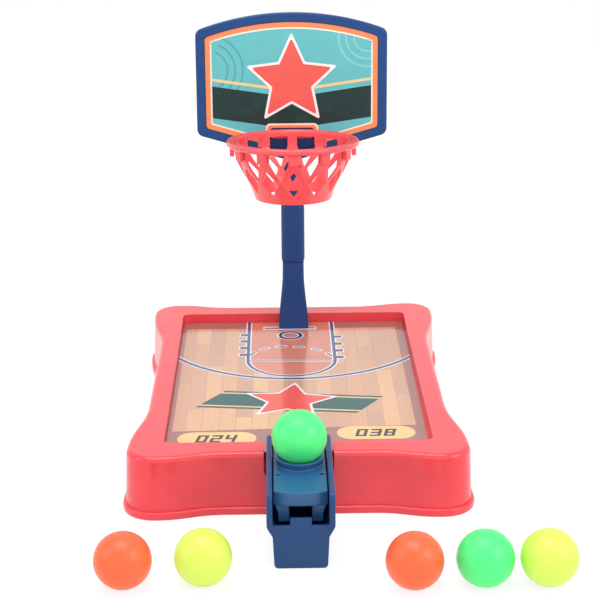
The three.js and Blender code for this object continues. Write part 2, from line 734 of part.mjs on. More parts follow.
function launcherHousing() {
  const half = launcherWidth / 2;
  const section = launcherSection(0);
  const rounded = roundedOutline(section, section.map((corner) =>
    (corner.y === 0 ? launcherBaseRound : launcherShoulderRound)));
  const body = alongY(rounded, -launcherFront, -launcherBack);
  const sideProfile = rectangle(-launcherFront, -launcherBack, 0, launcherHeight,
    [launcherCornerRadius / 2, 0, launcherRailRound, launcherRailRound]);
  const plan = rectangle(-half, half, -launcherFront, -launcherBack,
    [launcherCornerRadius, launcherCornerRadius, launcherBackRound, launcherBackRound]);
  const trimmed = body.intersect(alongX(sideProfile, -half - cutOverrun, half + cutOverrun))
    .intersect(alongZ(plan, -cutOverrun, launcherHeight + cutOverrun));
  const above = launcherHeight + cutOverrun;
  const innerSection = offsetOutline(section, -launcherWall).map(({ x, y }) => {
    if (y < launcherStepLow / 2) return new THREE.Vector2(x, launcherFloor);
    return new THREE.Vector2(x, y > (launcherStepHigh + launcherHeight) / 2 ? above : y);
  });
  const channelFront = -launcherFront + launcherWall;
  const channelBack = -launcherBack - launcherWall;
  const innerHalf = half - launcherRailWall;
  const channel = alongY(innerSection, channelFront, channelBack)
    .intersect(block([-innerHalf, innerHalf], [channelFront, channelBack], [launcherFloor, above]));
  const frontGap = block(
    [-innerHalf, innerHalf], [-launcherFront - cutOverrun, channelFront + cutOverrun],
    [launcherFrontWallTop, above]);
  const backGap = block(
    [-innerHalf, innerHalf], [channelBack - cutOverrun, -launcherBack + cutOverrun],
    [leverTop - leverPlate / 2, above]);
  const guide = block(
    [-tongueGuideWidth / 2, tongueGuideWidth / 2], [-launcherFront, channelFront],
    [launcherFrontWallTop - cutOverrun, launcherFrontWallTop + tongueGuideRise]);
  const pocketTop = launcherFloor + springPocketHeight;
  const springPocket = cut(
    drumZ(springPocketRadius + springPocketWall, launcherFloor / 2, pocketTop),
    drumZ(springPocketRadius, launcherFloor, pocketTop + cutOverrun)).translate([0, -cupY, 0]);
  const pinBore = solidOf(rodAlongX(pinDiameter / 2 + pinRunningClearance, launcherWidth + cutOverrun)
    .translate(0, -pinY, pinZ));
  return cut(joined(cut(trimmed, channel, frontGap, backGap), guide, springPocket), pinBore);
}

function launchLever() {
  const half = leverWidth / 2;
  const heel = -launcherBack - launcherWall - seatGap;
  const lipRadius = (half * half + leverLipSagitta * leverLipSagitta) / (2 * leverLipSagitta);
  const sideProfile = [
    [-leverLipFront, leverLow], [-pinY - barrelRadius, leverLow - leverPlate], [-pinY, pinZ - barrelRadius],
    [-pinY + barrelRadius * Math.SQRT1_2, pinZ - barrelRadius * Math.SQRT1_2], [-pinY + barrelRadius, pinZ],
    [heel, pinZ + barrelRadius], [heel, leverTop - leverPlate], [-leverLipFront, leverTop]];
  const topLevel = sideProfile.map(([y, z]) => new THREE.Vector2(y, z));
  topLevel.splice(-1, 0, new THREE.Vector2(-cupY + cupBaseRadius, leverTop));
  const slab = alongX(topLevel, -half, half);
  const lipSpan = Math.asin(half / lipRadius);
  const plan = [new THREE.Vector2(half, heel + cutOverrun), new THREE.Vector2(-half, heel + cutOverrun)];
  for (let step = 0; step <= lipArcSteps; step += 1) {
    const angle = lipSpan * ((2 * step) / lipArcSteps - 1);
    plan.push(new THREE.Vector2(
      lipRadius * Math.sin(angle), -leverLipFront + lipRadius * (1 - Math.cos(angle))));
  }
  const blank = slab.intersect(alongZ(plan, 0, leverTop + cutOverrun));
  const lipBack = -leverLipFront + leverLipSagitta + leverLipThickness;
  const trough = block(
    [-half + leverSkirtWall, half - leverSkirtWall], [lipBack, -pinY - barrelRadius - leverSkirtWall],
    [0, leverTop - leverPlate]);
  const legFront = -leverLipFront + leverLipSagitta;
  const legs = [-1, 1].map((side) => {
    const inner = leverLegGap / 2;
    const outer = launcherFootBase / 2 - launcherWall - seatGap;
    const span = side < 0 ? [-outer, -inner] : [inner, outer];
    return block(span, [legFront, legFront + leverLegThickness],
      [leverLow - leverLegDrop, leverLow + cutOverrun]);
  });
  const cup = solidOf(turned([
    [0, leverTop - leverPlate], [cupBaseRadius, leverTop - leverPlate], [cupBaseRadius, leverTop],
    [cupRimRadius, cupZ - cupRimRound], [cupRimRadius - cupRimRound / 2, cupZ], [0, cupZ]], roundSides)
    .translate(0, -cupY, 0));
  const bowl = solidOf(new THREE.SphereGeometry(ballDiameter / 2 + seatGap, roundSides, roundSides / 2)
    .rotateX(Math.PI / 2).translate(0, -cupY, loadedBallZ));
  const springPeg = drumZ(springPegRadius, leverTop - leverPlate - springPegLength,
    leverTop - leverPlate / 2, roundSides / 2).translate([0, -cupY, 0]);
  const holes = [-1, 1].map((side) => drumZ(
    leverHoleDiameter / 2, leverTop - leverPlate - cutOverrun, leverTop + cutOverrun, roundSides / 2)
    .translate([side * (half - leverHoleDiameter), -leverHoleY, 0]));
  const pinBore = solidOf(rodAlongX(pinDiameter / 2 + pinRunningClearance, leverWidth + cutOverrun)
    .translate(0, -pinY, pinZ));
  return cut(joined(cut(blank, trough), ...legs, cup, springPeg), bowl, pinBore, ...holes);
}

// Coil spring: one unbroken wire from the housing floor to the lever's underside

function springPath() {
  const low = launcherFloor + seatGap;
  const high = leverTop - leverPlate - seatGap;
  const coilLow = low + springWire;
  const coilHigh = high - springWire;
  const points = [new THREE.Vector3(springRadius, 0, low)];
  const count = springTurns * springStepsPerTurn;
  for (let step = 0; step <= count; step += 1) {
    const angle = (2 * Math.PI * step) / springStepsPerTurn;
    points.push(new THREE.Vector3(
      springRadius * Math.cos(angle), springRadius * Math.sin(angle),
      THREE.MathUtils.lerp(coilLow, coilHigh, step / count)));
  }
  points.push(new THREE.Vector3(springRadius, 0, high));
  return points.map((point) => point.add(new THREE.Vector3(0, -cupY, 0)));
}

function wireAlong(points, radius, sides) {
  const places = [];
  const faces = [];
  const axis = new THREE.Vector3(0, -cupY, 0);
  points.forEach((point, index) => {
    const before = points[Math.max(index - 1, 0)];
    const after = points[Math.min(index + 1, points.length - 1)];
    const ahead = after.clone().sub(before).normalize();
    const out = point.clone().sub(axis).setZ(0).normalize();
    const across = new THREE.Vector3().crossVectors(ahead, out).normalize();
    const radial = new THREE.Vector3().crossVectors(across, ahead).normalize();
    for (let side = 0; side < sides; side += 1) {
      const angle = (2 * Math.PI * side) / sides;
      const place = point.clone()
        .addScaledVector(radial, radius * Math.cos(angle))
        .addScaledVector(across, radius * Math.sin(angle));
      places.push(place.x, place.y, place.z);
    }
  });
  const ring = (index, side) => index * sides + (side % sides);
  for (let index = 0; index + 1 < points.length; index += 1) {
    for (let side = 0; side < sides; side += 1) {
      faces.push(ring(index, side), ring(index, side + 1), ring(index + 1, side + 1));
      faces.push(ring(index, side), ring(index + 1, side + 1), ring(index + 1, side));
    }
  }
  const last = points.length - 1;
  for (let side = 1; side + 1 < sides; side += 1) {
    faces.push(ring(0, 0), ring(0, side + 1), ring(0, side));
    faces.push(ring(last, 0), ring(last, side), ring(last, side + 1));
  }
  const geometry = new THREE.BufferGeometry();
  geometry.setAttribute('position', new THREE.Float32BufferAttribute(places, 3));
  geometry.setIndex(faces);
  return geometry;
}

function leastSelfGap(points, thickness) {
  let least = Infinity;
  const nearAlong = Math.PI * springRadius;
  const run = [0];
  points.slice(1).forEach((point, index) => run.push(run[index] + point.distanceTo(points[index])));
  points.forEach((point, i) => points.slice(i + 1).forEach((other, k) => {
    if (run[i + 1 + k] - run[i] > nearAlong) least = Math.min(least, point.distanceTo(other) - thickness);
  }));
  return least;
}

const leverPin = () => solidOf(rodAlongX(pinDiameter / 2, launcherWidth - 2 * pinRunningClearance)
  .translate(0, -pinY, pinZ));

const ballShape = () => new THREE.SphereGeometry(ballDiameter / 2, ballSides, ballRings).rotateX(Math.PI / 2);

// Assembly

const game = new THREE.Group();

function addPiece(parent, name, geometry, material, place = [0, 0, 0]) {
  const mesh = new THREE.Mesh(geometry, material);
  mesh.name = name;
  mesh.position.set(...place);
  parent.add(mesh);
}

addPiece(game, 'base_shell', geometryOf(baseShell()), redPlastic);
addPiece(game, 'base_plate', geometryOf(basePlate()), redPlastic);
screwPlaces.forEach(([x, y], index) => {
  addPiece(game, `base_screw_${index + 1}`, geometryOf(solidOf(baseScrew())), steel, [x, y, 0]);
});
addPiece(game, 'court_card', geometryOf(courtCard()), courtCardStock);

game.add(mast);
addPiece(mast, 'lower_post', geometryOf(lowerPost()), bluePlastic);
addPiece(mast, 'upper_post', geometryOf(upperPost()), bluePlastic);
addPiece(mast, 'backboard_frame', geometryOf(backboardFrame()), bluePlastic);
addPiece(mast, 'backboard_card', geometryOf(backboardCard()), boardCardStock);
addPiece(mast, 'hoop_ring', geometryOf(hoopRing()), hoopPlastic);
addPiece(mast, 'hoop_net', geometryOf(hoopNet()), hoopPlastic);

addPiece(game, 'launcher_housing', geometryOf(launcherHousing()), bluePlastic);
addPiece(game, 'launch_lever', geometryOf(launchLever()), bluePlastic);
addPiece(game, 'lever_pivot_pin', geometryOf(leverPin()), steel);
const springPoints = springPath();
const springCoil = solidOf(wireAlong(springPoints, springWire / 2, springSides));
addPiece(game, 'lever_spring', geometryOf(springCoil), steel);
console.log(`lever spring least gap to itself ${leastSelfGap(springPoints, springWire).toFixed(2)} mm`);

addPiece(game, 'ball_green_loaded', geometryOf(solidOf(ballShape())), ballPlastics.green,
  [0, -cupY, loadedBallZ]);
Object.entries(looseBalls).forEach(([name, { colour, x, ahead }]) => {
  addPiece(game, name, geometryOf(solidOf(ballShape())), ballPlastics[colour],
    [x, -launcherFront - ahead, ballDiameter / 2]);
});

export default game;
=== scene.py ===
import math
from contextlib import contextmanager

import bmesh
import bpy
from mathutils import Matrix, Vector


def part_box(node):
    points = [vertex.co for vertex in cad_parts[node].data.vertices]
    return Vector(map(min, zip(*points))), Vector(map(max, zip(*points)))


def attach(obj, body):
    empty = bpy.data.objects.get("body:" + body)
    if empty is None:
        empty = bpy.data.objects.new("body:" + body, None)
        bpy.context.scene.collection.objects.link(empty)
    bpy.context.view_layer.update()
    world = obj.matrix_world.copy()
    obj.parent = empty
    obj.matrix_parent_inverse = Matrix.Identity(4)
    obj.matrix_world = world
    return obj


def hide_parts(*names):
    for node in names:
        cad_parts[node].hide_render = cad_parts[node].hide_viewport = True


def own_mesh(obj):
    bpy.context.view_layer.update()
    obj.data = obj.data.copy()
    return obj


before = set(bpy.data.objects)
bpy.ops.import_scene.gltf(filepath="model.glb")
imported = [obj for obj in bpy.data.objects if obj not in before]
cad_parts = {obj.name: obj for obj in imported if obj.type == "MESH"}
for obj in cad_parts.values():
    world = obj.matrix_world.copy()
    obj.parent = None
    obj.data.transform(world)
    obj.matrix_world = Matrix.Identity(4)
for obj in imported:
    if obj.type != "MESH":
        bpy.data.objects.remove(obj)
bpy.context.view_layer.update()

# Tabletop basketball game. Lengths are millimetres unless a name says otherwise; meshes are
# built in millimetres and set down in metres. +X right, +Y from the player to the hoop, +Z up.

METRES = 0.001
GAP, OVER, CARD = 0.3, 1, 0.8

# Tray
WAIST_WIDTH, WAIST_LENGTH = 177, 254
SIDE_BULGE, END_BULGE, TRAY_CORNER = 8, 6, 16
SIDE_STRAIGHT, END_STRAIGHT = 102, 84
SWELL_SHARE, CIRCLE_SHARE = 0.45, 0.5523
TRAY_HEIGHT, WALL_DRAFT, RIM_FILLET, SHELL_WALL, SHELL_EDGE_ROUND = 36.5, 1.2, 3.2, 2.4, 0.55
POCKET_WIDTH, POCKET_LENGTH, POCKET_DEPTH, POCKET_CORNER = 152.5, 222.5, 7.3, 4
POCKET_FLOOR = TRAY_HEIGHT - POCKET_DEPTH
COURT_TOP = POCKET_FLOOR + CARD
PLATE_EDGE, PLATE_THICK, PLATE_STEP, PLATE_BAND = 4.6, 2.4, 1.8, 8
PLATE_ROUND, PLATE_TOP_ROUND, PLATE_EDGE_ROUND = 1.4, 1.2, 0.3
SCREW_PLACES = [(66, 98), (-66, 98), (-66, -98), (66, -98)]
SCREW_HEAD, SCREW_SHANK, SCREW_RECESS, SCREW_PAD, SCREW_BOSS = 6.4, 3, 2.4, 12.6, 8.4
HEAD_HEIGHT, SHANK_TOP, SCREW_POINT, BORE_TOP = 2, 14.5, 16, 17
CROSS_LENGTH, CROSS_WIDTH = 3, 0.7

# Mast
MAST_RAKE, MAST_FOOT_Y = math.radians(3.5), 97
POST_FOOT, POST_TOP, POST_HEIGHT, POST_CORNER, POST_STEPS = (20.2, 12.6), (14.4, 11.4), 46.7, 2.6, 26
POST_FLARE = [(0, 1), (0.13, 0.98), (0.22, 0.87), (0.62, 0.2), (0.74, 0.05), (1, 0)]
FLARE_REACH = 0.05
TENON_WIDTH, TENON_DEPTH, TENON_LENGTH = 13, 8.6, 17
SPIGOT_WIDTH, SPIGOT_DEPTH, SPIGOT_LENGTH = 10.6, 7.6, 26
SLEEVE_WIDTH, SLEEVE_DEPTH, SLEEVE_LENGTH, SLEEVE_CHAMFER, SLEEVE_CORNER = 15.8, 13.4, 40.7, 1.5, 4.4
NECK_WIDTH, NECK_DEPTH, NECK_TOP = 12, 8, 164
FLANGE_WIDTH, FLANGE_THICK, FLANGE_LENGTH = 24, 2.6, 38

# Backboard
BOARD_WIDTH, BOARD_TOP, BOARD_ARC, BOARD_STEPS = 126, 215.44, 177, 36
BOARD_SIDE_LOW, BOARD_APEX_LOW = 135.3, 117
BOARD_CORNER, BOARD_THICK, BOARD_BORDER, BORDER_ROUND, FRAME_ROUND = 5, 5.5, 5.8, 1.5, 0.8
BOARD_RECESS, BOARD_STAND_OFF = 1.6, 3
BOARD_FRONT, BOARD_BACK = -BOARD_STAND_OFF, BOARD_THICK - BOARD_STAND_OFF
RECESS_FLOOR = BOARD_FRONT + BOARD_RECESS
CARD_BACK = RECESS_FLOOR - GAP
CARD_FRONT = CARD_BACK - CARD
CARD_INSET, WHITE_INSET, TEAL_INSET = BOARD_BORDER + 0.4, BOARD_BORDER + 3.7, BOARD_BORDER + 4.7
RAIL_WIDTH, RAIL_HOOK, RAIL_LIP = 3, 2.6, 2.1

# Hoop and net
HOOP_OUTER, HOOP_BAND, HOOP_BAND_HEIGHT, HOOP_ROUND, HOOP_TOP = 42.5, 5, 4, 1.8, 139.4
HOOP_GAP, RING_SIDES = 2, 144
HOOP_INNER, HOOP_Y = HOOP_OUTER - HOOP_BAND, BOARD_FRONT - HOOP_GAP - HOOP_OUTER
LUG_COUNT, LUG_WIDTH, LUG_THICK, LUG_DROP = 12, 6.2, 2.8, 6.4
BRACKET_WIDTH, BRACKET_HEIGHT, BRACKET_THICK, BRACKET_TOP = 28, 5.4, 2.8, HOOP_TOP - 0.8
BRACKET_LOW = BRACKET_TOP - BRACKET_HEIGHT
TONGUE_WIDTH, TONGUE_HEIGHT = 24.2, 3.4
TONGUE_LOW = BRACKET_LOW + (BRACKET_HEIGHT - TONGUE_HEIGHT) / 2
NOTCH_WIDTH, NOTCH_TOP = 29.6, BRACKET_TOP + 1.2
NET_RADIUS, NET_STEPS = HOOP_INNER - GAP, 30
NET_HEIGHT, NET_WALL, NET_RIM_INSET, NET_STRAP, NET_STRAND = 37.5, 1.8, 0.6, 6.6, 3.8
NET_LEVELS = [(0, 1), (0.19, 1), (0.28, 0.985), (0.39, 0.94), (0.52, 0.873), (0.65, 0.8),
              (0.78, 0.735), (0.9, 0.69), (1, 0.655)]
STRAP_TOP, STRAP_FORK, FORK_END = 0.09, 0.26, 0.6
DIAMOND_TOP, DIAMOND_MIDDLE, DIAMOND_LOW = 0.4, 0.624, 0.853

# Launcher and lever
CASE_WIDTH, CASE_FOOT, CASE_BASE = 35.9, 29.6, 28
CASE_FRONT, CASE_BACK, CASE_HEIGHT = 194, 113.6, 42.7
STEP_LOW, STEP_HIGH = 18.2, 23.6
NOTCH_PLAY, NOTCH_SIDE_PLAY = 0.8, 1.5
NOTCH_HALF = CASE_WIDTH / 2 + NOTCH_SIDE_PLAY
NOTCH_BACK = -POCKET_LENGTH / 2 + OVER
NOTCH_FRONT = -(WAIST_LENGTH / 2 + END_BULGE + PLATE_STEP + OVER)
CASE_WALL, RAIL_WALL, CASE_FLOOR, FRONT_WALL_TOP = 2.4, 3.2, 2.4, 24.6
GUIDE_WIDTH, GUIDE_RISE = 11.3, 4.2
CORNER_ROUND, BASE_ROUND, SHOULDER_ROUND, RAIL_ROUND, BACK_ROUND = 1.6, 2.6, 0.8, 4, 5
LEVER_WIDTH, LEVER_TOP, LEVER_PLATE, LEVER_SKIRT, SKIRT_WALL, LEVER_ROUND = 28.4, 40, 2.4, 7.6, 2, 0.7
LEVER_UNDER, LEVER_LOW = LEVER_TOP - LEVER_PLATE, LEVER_TOP - LEVER_SKIRT
LIP_INSET, LIP_SAGITTA, LIP_THICK = 7, 2.8, 3
LEG_DROP, LEG_THICK, LEG_GAP, LEG_FOOT_OUT, LEG_TOP_OUT = 10, 2.2, 11.8, 11.8, 13.6
HOLE_DIAMETER, HOLE_INSET = 2.4, 31
CUP_Y, CUP_RIM, CUP_BASE, CUP_HEIGHT, CUP_FLOOR = 147.5, 13.2, 12.2, 4.2, 1.8
PIN_Y, PIN_Z, PIN_RADIUS, BARREL = 120, 30.5, 1.5, 3.7
COIL_RADIUS, COIL_WIRE, COIL_TURNS, COIL_STEPS, COIL_END, COIL_KEEP = 4, 0.5, 8, 28, 1, 0.88
COIL_POCKET, COIL_POCKET_WALL, COIL_POCKET_HEIGHT = 4.9, 1.6, 15
PEG_RADIUS, PEG_LENGTH = 2.4, 3
BALL_RADIUS, BALL_RINGS, BALL_SIDES, SEAM_HEIGHT, SEAM_WIDTH = 15, 96, 128, 0.05, 1.2

# Finish of the meshes
CURVE_STEPS, CORNER_STEPS, FINE_SIDES = 22, 8, 96
SHARP_ANGLE, MOULDED_ANGLE = 32, 60


# Outlines

def polar(radius, angle, x=0, y=0):
    return x + radius * math.cos(angle), y + radius * math.sin(angle)


def about(width):
    return -width / 2, width / 2


def shares(steps):
    return [step / steps for step in range(steps + 1)]


def quarter_turn(steps):
    """Cosine and sine in even steps from 0 to 90 degrees."""
    return [polar(1, math.pi / 2 * step / steps) for step in range(steps + 1)]


def interpolated(levels, share):
    """The value at a share, on straight lines between (share, value) levels."""
    for (low, low_value), (high, high_value) in zip(levels, levels[1:]):
        if share <= high:
            return low_value + (high_value - low_value) * ((share - low) / (high - low))
    return levels[-1][1]


def rounded(corners, radii=0, steps=CORNER_STEPS):
    """An outline with its corners rounded by one radius, or by a list of radii."""
    points = []
    for index, corner in enumerate(corners):
        radius = radii[index] if isinstance(radii, list) else radii
        here = Vector(corner)
        if radius <= 0:
            points.append(tuple(here))
            continue
        before = (Vector(corners[index - 1]) - here).normalized()
        after = (Vector(corners[(index + 1) % len(corners)]) - here).normalized()
        half = math.acos(max(-1, min(1, before.dot(after)))) / 2
        arm = here + before * (radius / math.tan(half))
        centre = here + (before + after).normalized() * (radius / math.sin(half))
        arm -= centre
        turn = (math.pi - 2 * half) * math.copysign(1, after.x * before.y - after.y * before.x)
        for step in range(steps + 1):
            cos, sin = polar(1, turn * step / steps)
            points.append((centre.x + arm.x * cos - arm.y * sin,
                           centre.y + arm.x * sin + arm.y * cos))
    return points


def rectangle(low_x, high_x, low_y, high_y, *rounding):
    return rounded([(low_x, low_y), (high_x, low_y), (high_x, high_y), (low_x, high_y)], *rounding)


def centred(width, height, *rounding):
    return rectangle(*about(width), *about(height), *rounding)


def moved(points, x, y, degrees=0):
    """Points turned about the origin, then moved."""
    cos, sin = polar(1, math.radians(degrees))
    return [(x + px * cos - py * sin, y + px * sin + py * cos) for px, py in points]


def mitred(points, edges, distance):
    """Points moved to the right of their path; edges are the directions before and after each."""
    result = []
    for here, edge_in, edge_out in zip(points, edges, edges[1:]):
        normal_in, normal_out = Vector((edge_in.y, -edge_in.x)), Vector((edge_out.y, -edge_out.x))
        reach = distance / (1 + normal_in.dot(normal_out))
        result.append(tuple(Vector(here) + (normal_in + normal_out) * reach))
    return result


def directions(points):
    return [(Vector(b) - Vector(a)).normalized() for a, b in zip(points, points[1:])]


def grown(points, distance):
    """A closed outline moved outward."""
    edges = directions([points[-1], *points])
    return mitred(points, [*edges, edges[0]], distance)


def arc(x, y, radius, start, stop, steps):
    """Points along an arc between angles in degrees, ends included."""
    return [polar(radius, math.radians(start + (stop - start) * step / steps), x, y)
            for step in range(steps + 1)]


def ribbon(points, width):
    """The outline of a line along an open path."""
    edges = directions(points)
    edges = [edges[0], *edges, edges[-1]]
    return mitred(points, edges, width / 2) + mitred(points, edges, -width / 2)[::-1]


# Meshes

def linked(name, data):
    obj = bpy.data.objects.new(name, data)
    bpy.context.scene.collection.objects.link(obj)
    return obj


@contextmanager
def editing(mesh):
    """The mesh as a bmesh, written back at the end."""
    shape = bmesh.new()
    shape.from_mesh(mesh)
    yield shape
    shape.to_mesh(mesh)
    shape.free()


def mesh_object(places, faces, name="solid"):
    mesh = bpy.data.meshes.new(name)
    mesh.from_pydata([tuple(place) for place in places], [], faces)
    with editing(mesh) as shape:
        bmesh.ops.remove_doubles(shape, verts=shape.verts, dist=0.00001)
        bmesh.ops.recalc_face_normals(shape, faces=shape.faces)
    return linked(name, mesh)


def skinned(rings):
    """A closed solid through rings of places."""
    count = len(rings[0])
    top = (len(rings) - 1) * count
    faces = []
    for low in range(0, top, count):
        for i in range(count):
            a, b = low + i, low + (i + 1) % count
            faces.append((a, b, b + count, a + count))
    faces += [tuple(reversed(range(count))), tuple(range(top, top + count))]
    return mesh_object([place for ring in rings for place in ring], faces)


def loft(sections):
    """A closed solid through sections given as (outline, z)."""
    return skinned([[(x, y, z) for x, y in outline] for outline, z in sections])


def placed(obj, matrix):
    obj.data.transform(matrix)
    return obj


def shifted(obj, x=0, y=0, z=0):
    return placed(obj, Matrix.Translation((x, y, z)))


def spun(obj, degrees, axis="Z"):
    return placed(obj, Matrix.Rotation(math.radians(degrees), 4, axis))


MAST = Matrix.Translation((0, MAST_FOOT_Y, COURT_TOP)) @ Matrix.Rotation(-MAST_RAKE, 4, "X")


def in_mast(obj):
    """Sets an upright piece on the mast's raked axis."""
    return placed(obj, MAST)


def along_z(outline, low, high):
    return loft([(outline, low), (outline, high)])


def along_x(outline, low, high):
    """An outline given as (y, z), drawn out along X."""
    turn = Matrix(((0, 0, 1), (1, 0, 0), (0, 1, 0)))
    return placed(along_z(outline, low, high), turn.to_4x4())


def along_y(outline, low, high):
    """An outline given as (x, z), drawn out along Y."""
    turn = Matrix(((1, 0, 0), (0, 0, -1), (0, 1, 0)))
    return placed(along_z(outline, -high, -low), turn.to_4x4())


def block(x, y, z):
    return along_z(rectangle(*x, *y), *z)


def lathe(profile, sides=FINE_SIDES):
    """A profile of (radius, z) turned about Z. Ends on the axis close to a point."""
    closed = profile[0] == profile[-1]
    levels = profile[:-1] if closed else profile
    places, rings = [], []
    for radius, z in levels:
        if radius < 1e-6:
            rings.append([len(places)] * sides)
            places.append((0, 0, z))
        else:
            rings.append(list(range(len(places), len(places) + sides)))
            places += [(*polar(radius, 2 * math.pi * side / sides), z) for side in range(sides)]
    faces = []
    for level in range(len(levels) if closed else len(levels) - 1):
        low, high = rings[level], rings[(level + 1) % len(levels)]
        for i in range(sides):
            j = (i + 1) % sides
            face = tuple(dict.fromkeys((low[i], low[j], high[j], high[i])))
            if len(face) > 2:
                faces.append(face)
    return mesh_object(places, faces)


def drum(radius, low, high, sides=FINE_SIDES):
    return lathe([(0, low), (radius, low), (radius, high), (0, high)], sides)


def modified(obj, kind, **settings):
    """Adds a modifier and applies it to the mesh."""
    modifier = obj.modifiers.new(kind.lower(), kind)
    for key, value in settings.items():
        setattr(modifier, key, value)
    bpy.context.view_layer.update()
    evaluated = obj.evaluated_get(bpy.context.evaluated_depsgraph_get())
    old, mesh = obj.data, bpy.data.meshes.new_from_object(evaluated)
    obj.modifiers.clear()
    obj.data = mesh
    bpy.data.meshes.remove(old)
    return obj


def combined(operation):
    def apply(target, *tools):
        for tool in tools:
            modified(target, "BOOLEAN", operation=operation, solver="EXACT", object=tool)
            mesh = tool.data
            bpy.data.objects.remove(tool)
            bpy.data.meshes.remove(mesh)
        return target
    return apply


cut, joined, shared = [combined(operation) for operation in ("DIFFERENCE", "UNION", "INTERSECT")]


def softened(obj, width, segments=3):
    """Rounds the sharp edges of a flat-faced solid."""
    with editing(obj.data) as shape:
        bmesh.ops.remove_doubles(shape, verts=shape.verts, dist=width / 40)
        bmesh.ops.dissolve_limit(shape, angle_limit=math.radians(0.5), verts=shape.verts,
                                 edges=shape.edges)
    return modified(obj, "BEVEL", width=width, segments=segments, limit_method="ANGLE",
                    angle_limit=math.radians(SHARP_ANGLE), miter_outer="MITER_ARC")


def moulded(obj, voxel, rounds):
    """Remeshes a solid into one smooth skin with small fillets, as a moulding has."""
    modified(obj, "REMESH", mode="VOXEL", voxel_size=voxel)
    return modified(obj, "SMOOTH", factor=0.5, iterations=rounds)


def shade(obj, sharp_angle):
    """Smooth shading, apart from open edges and edges sharper than the angle."""
    with editing(obj.data) as shape:
        for face in shape.faces:
            face.smooth = True
        for edge in shape.edges:
            edge.smooth = (len(edge.link_faces) == 2
                           and edge.calc_face_angle(0) < math.radians(sharp_angle))
    obj.modifiers.new("weighted", "WEIGHTED_NORMAL").keep_sharp = True


def set_down(obj, name, finish, node=None, sharp_angle=SHARP_ANGLE, body="base"):
    """Puts a piece in the frame: metres, the material of (material, slot) with the slot not used, the
    node it stands for, its body.
    """
    placed(obj, Matrix.Scale(METRES, 4))
    obj.name = obj.data.name = name
    shade(obj, sharp_angle)
    material, slot = finish
    obj.data.materials.clear()
    obj.data.materials.append(material)
    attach(obj, body)
    if node:
        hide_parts(node)
    return obj


# Materials

def srgb(*values):
    """A linear colour from 8-bit display values."""
    levels = [value / 255 for value in values]
    return (*[s / 12.92 if s <= 0.04045 else ((s + 0.055) / 1.055) ** 2.4 for s in levels], 1)


class Nodes:
    """A short way to write the nodes of a material or world."""

    def __init__(self, name, store=bpy.data.materials):
        self.owner = store.new(name)
        self.owner.use_nodes = True
        self.tree = self.owner.node_tree

    def fill(self, node, inputs):
        """Links the inputs that are given a socket, and writes the others."""
        for key, value in inputs.items():
            if isinstance(value, bpy.types.NodeSocket):
                self.tree.links.new(value, node.inputs[key])
            else:
                node.inputs[key].default_value = value
        return node.outputs

    def add(self, kind, inputs=None, **settings):
        node = self.tree.nodes.new("ShaderNode" + kind)
        for key, value in settings.items():
            setattr(node, key, value)
        return self.fill(node, inputs or {})

    def maths(self, operation, *values):
        return self.add("Math", dict(enumerate(values)), operation=operation)[0]

    def place(self):
        return self.add("TexCoord")["Object"]

    def noise(self, scale, detail, roughness, place=None):
        return self.add("TexNoise", {"Scale": scale, "Detail": detail, "Roughness": roughness,
                                     "Vector": place or self.place()})["Fac"]

    def ramp(self, factor, *stops):
        colour = self.add("ValToRGB", {"Fac": factor})["Color"]
        elements = colour.node.color_ramp.elements
        elements.remove(elements[-1])
        elements[0].position, elements[0].color = stops[0]
        for position, stop in stops[1:]:
            elements.new(position).color = stop
        return colour

    def mottled(self, scale, detail, colour, mottle, low):
        darker, paler = [(*[min(1, channel * share) for channel in srgb(*colour)[:3]], 1)
                         for share in (1 - mottle, 1 + mottle)]
        return self.ramp(self.noise(scale, detail, 0.6), (low, darker), (1 - low, paler))

    def spread(self, noise, low, high):
        """The middle of a noise's range, spread from low to high."""
        return self.add("MapRange", {"Value": noise, "From Min": 0.3, "From Max": 0.7,
                                     "To Min": low, "To Max": high})["Result"]

    def skin(self, colour, gloss, roughness, grain, bump, **values):
        """Colour, uneven roughness and fine bumps from noises, and values for other inputs."""
        bumps = self.add("Bump", {"Strength": bump, "Distance": 0.0001, "Height": self.noise(*grain)})
        inputs = {"Base Color": colour, "Roughness": self.spread(self.noise(*gloss), *roughness),
                  "Normal": bumps["Normal"]}
        inputs.update((key.replace("_", " "), value) for key, value in values.items())
        self.fill(self.tree.nodes["Principled BSDF"], inputs)
        return self.owner


def plastic(name, colour, rough, mottle=0.05, soften=0, coat=0.2, specular=0.5, coat_rough=0.22):
    """Moulded plastic: faint colour mottle, uneven gloss and a very fine grain."""
    nodes = Nodes(name)
    return nodes.skin(
        nodes.mottled(38, 3, colour, mottle, 0.32), (140, 4, 0.65), (rough - 0.05, rough + 0.06),
        (2600, 2, 0.5), 0.01, Subsurface_Weight=soften, Subsurface_Radius=(1, 0.4, 0.3),
        Subsurface_Scale=0.002, Specular_IOR_Level=specular, Coat_Weight=coat,
        Coat_Roughness=coat_rough)


def varnished(nodes, colour, rough, coat=0.35, specular=0.5):
    return nodes.skin(colour, (60, 3, 0.6), (0.12, rough), (500, 3, 0.5), 0.02,
                      Specular_IOR_Level=specular, Coat_Weight=coat, Coat_Roughness=0.06)


def print_ink(name, colour, mottle=0.03, *varnish):
    nodes = Nodes(name)
    return varnished(nodes, nodes.mottled(90, 4, colour, mottle, 0.3), 0.21, *varnish)


def steel_finish(name, dark, pale):
    nodes = Nodes(name)
    tint = nodes.ramp(nodes.noise(300, 4, 0.6), (0.3, srgb(*dark)), (0.7, srgb(*pale)))
    return nodes.skin(tint, (700, 4, 0.6), (0.22, 0.4), (4000, 2, 0.5), 0.05, Metallic=1)


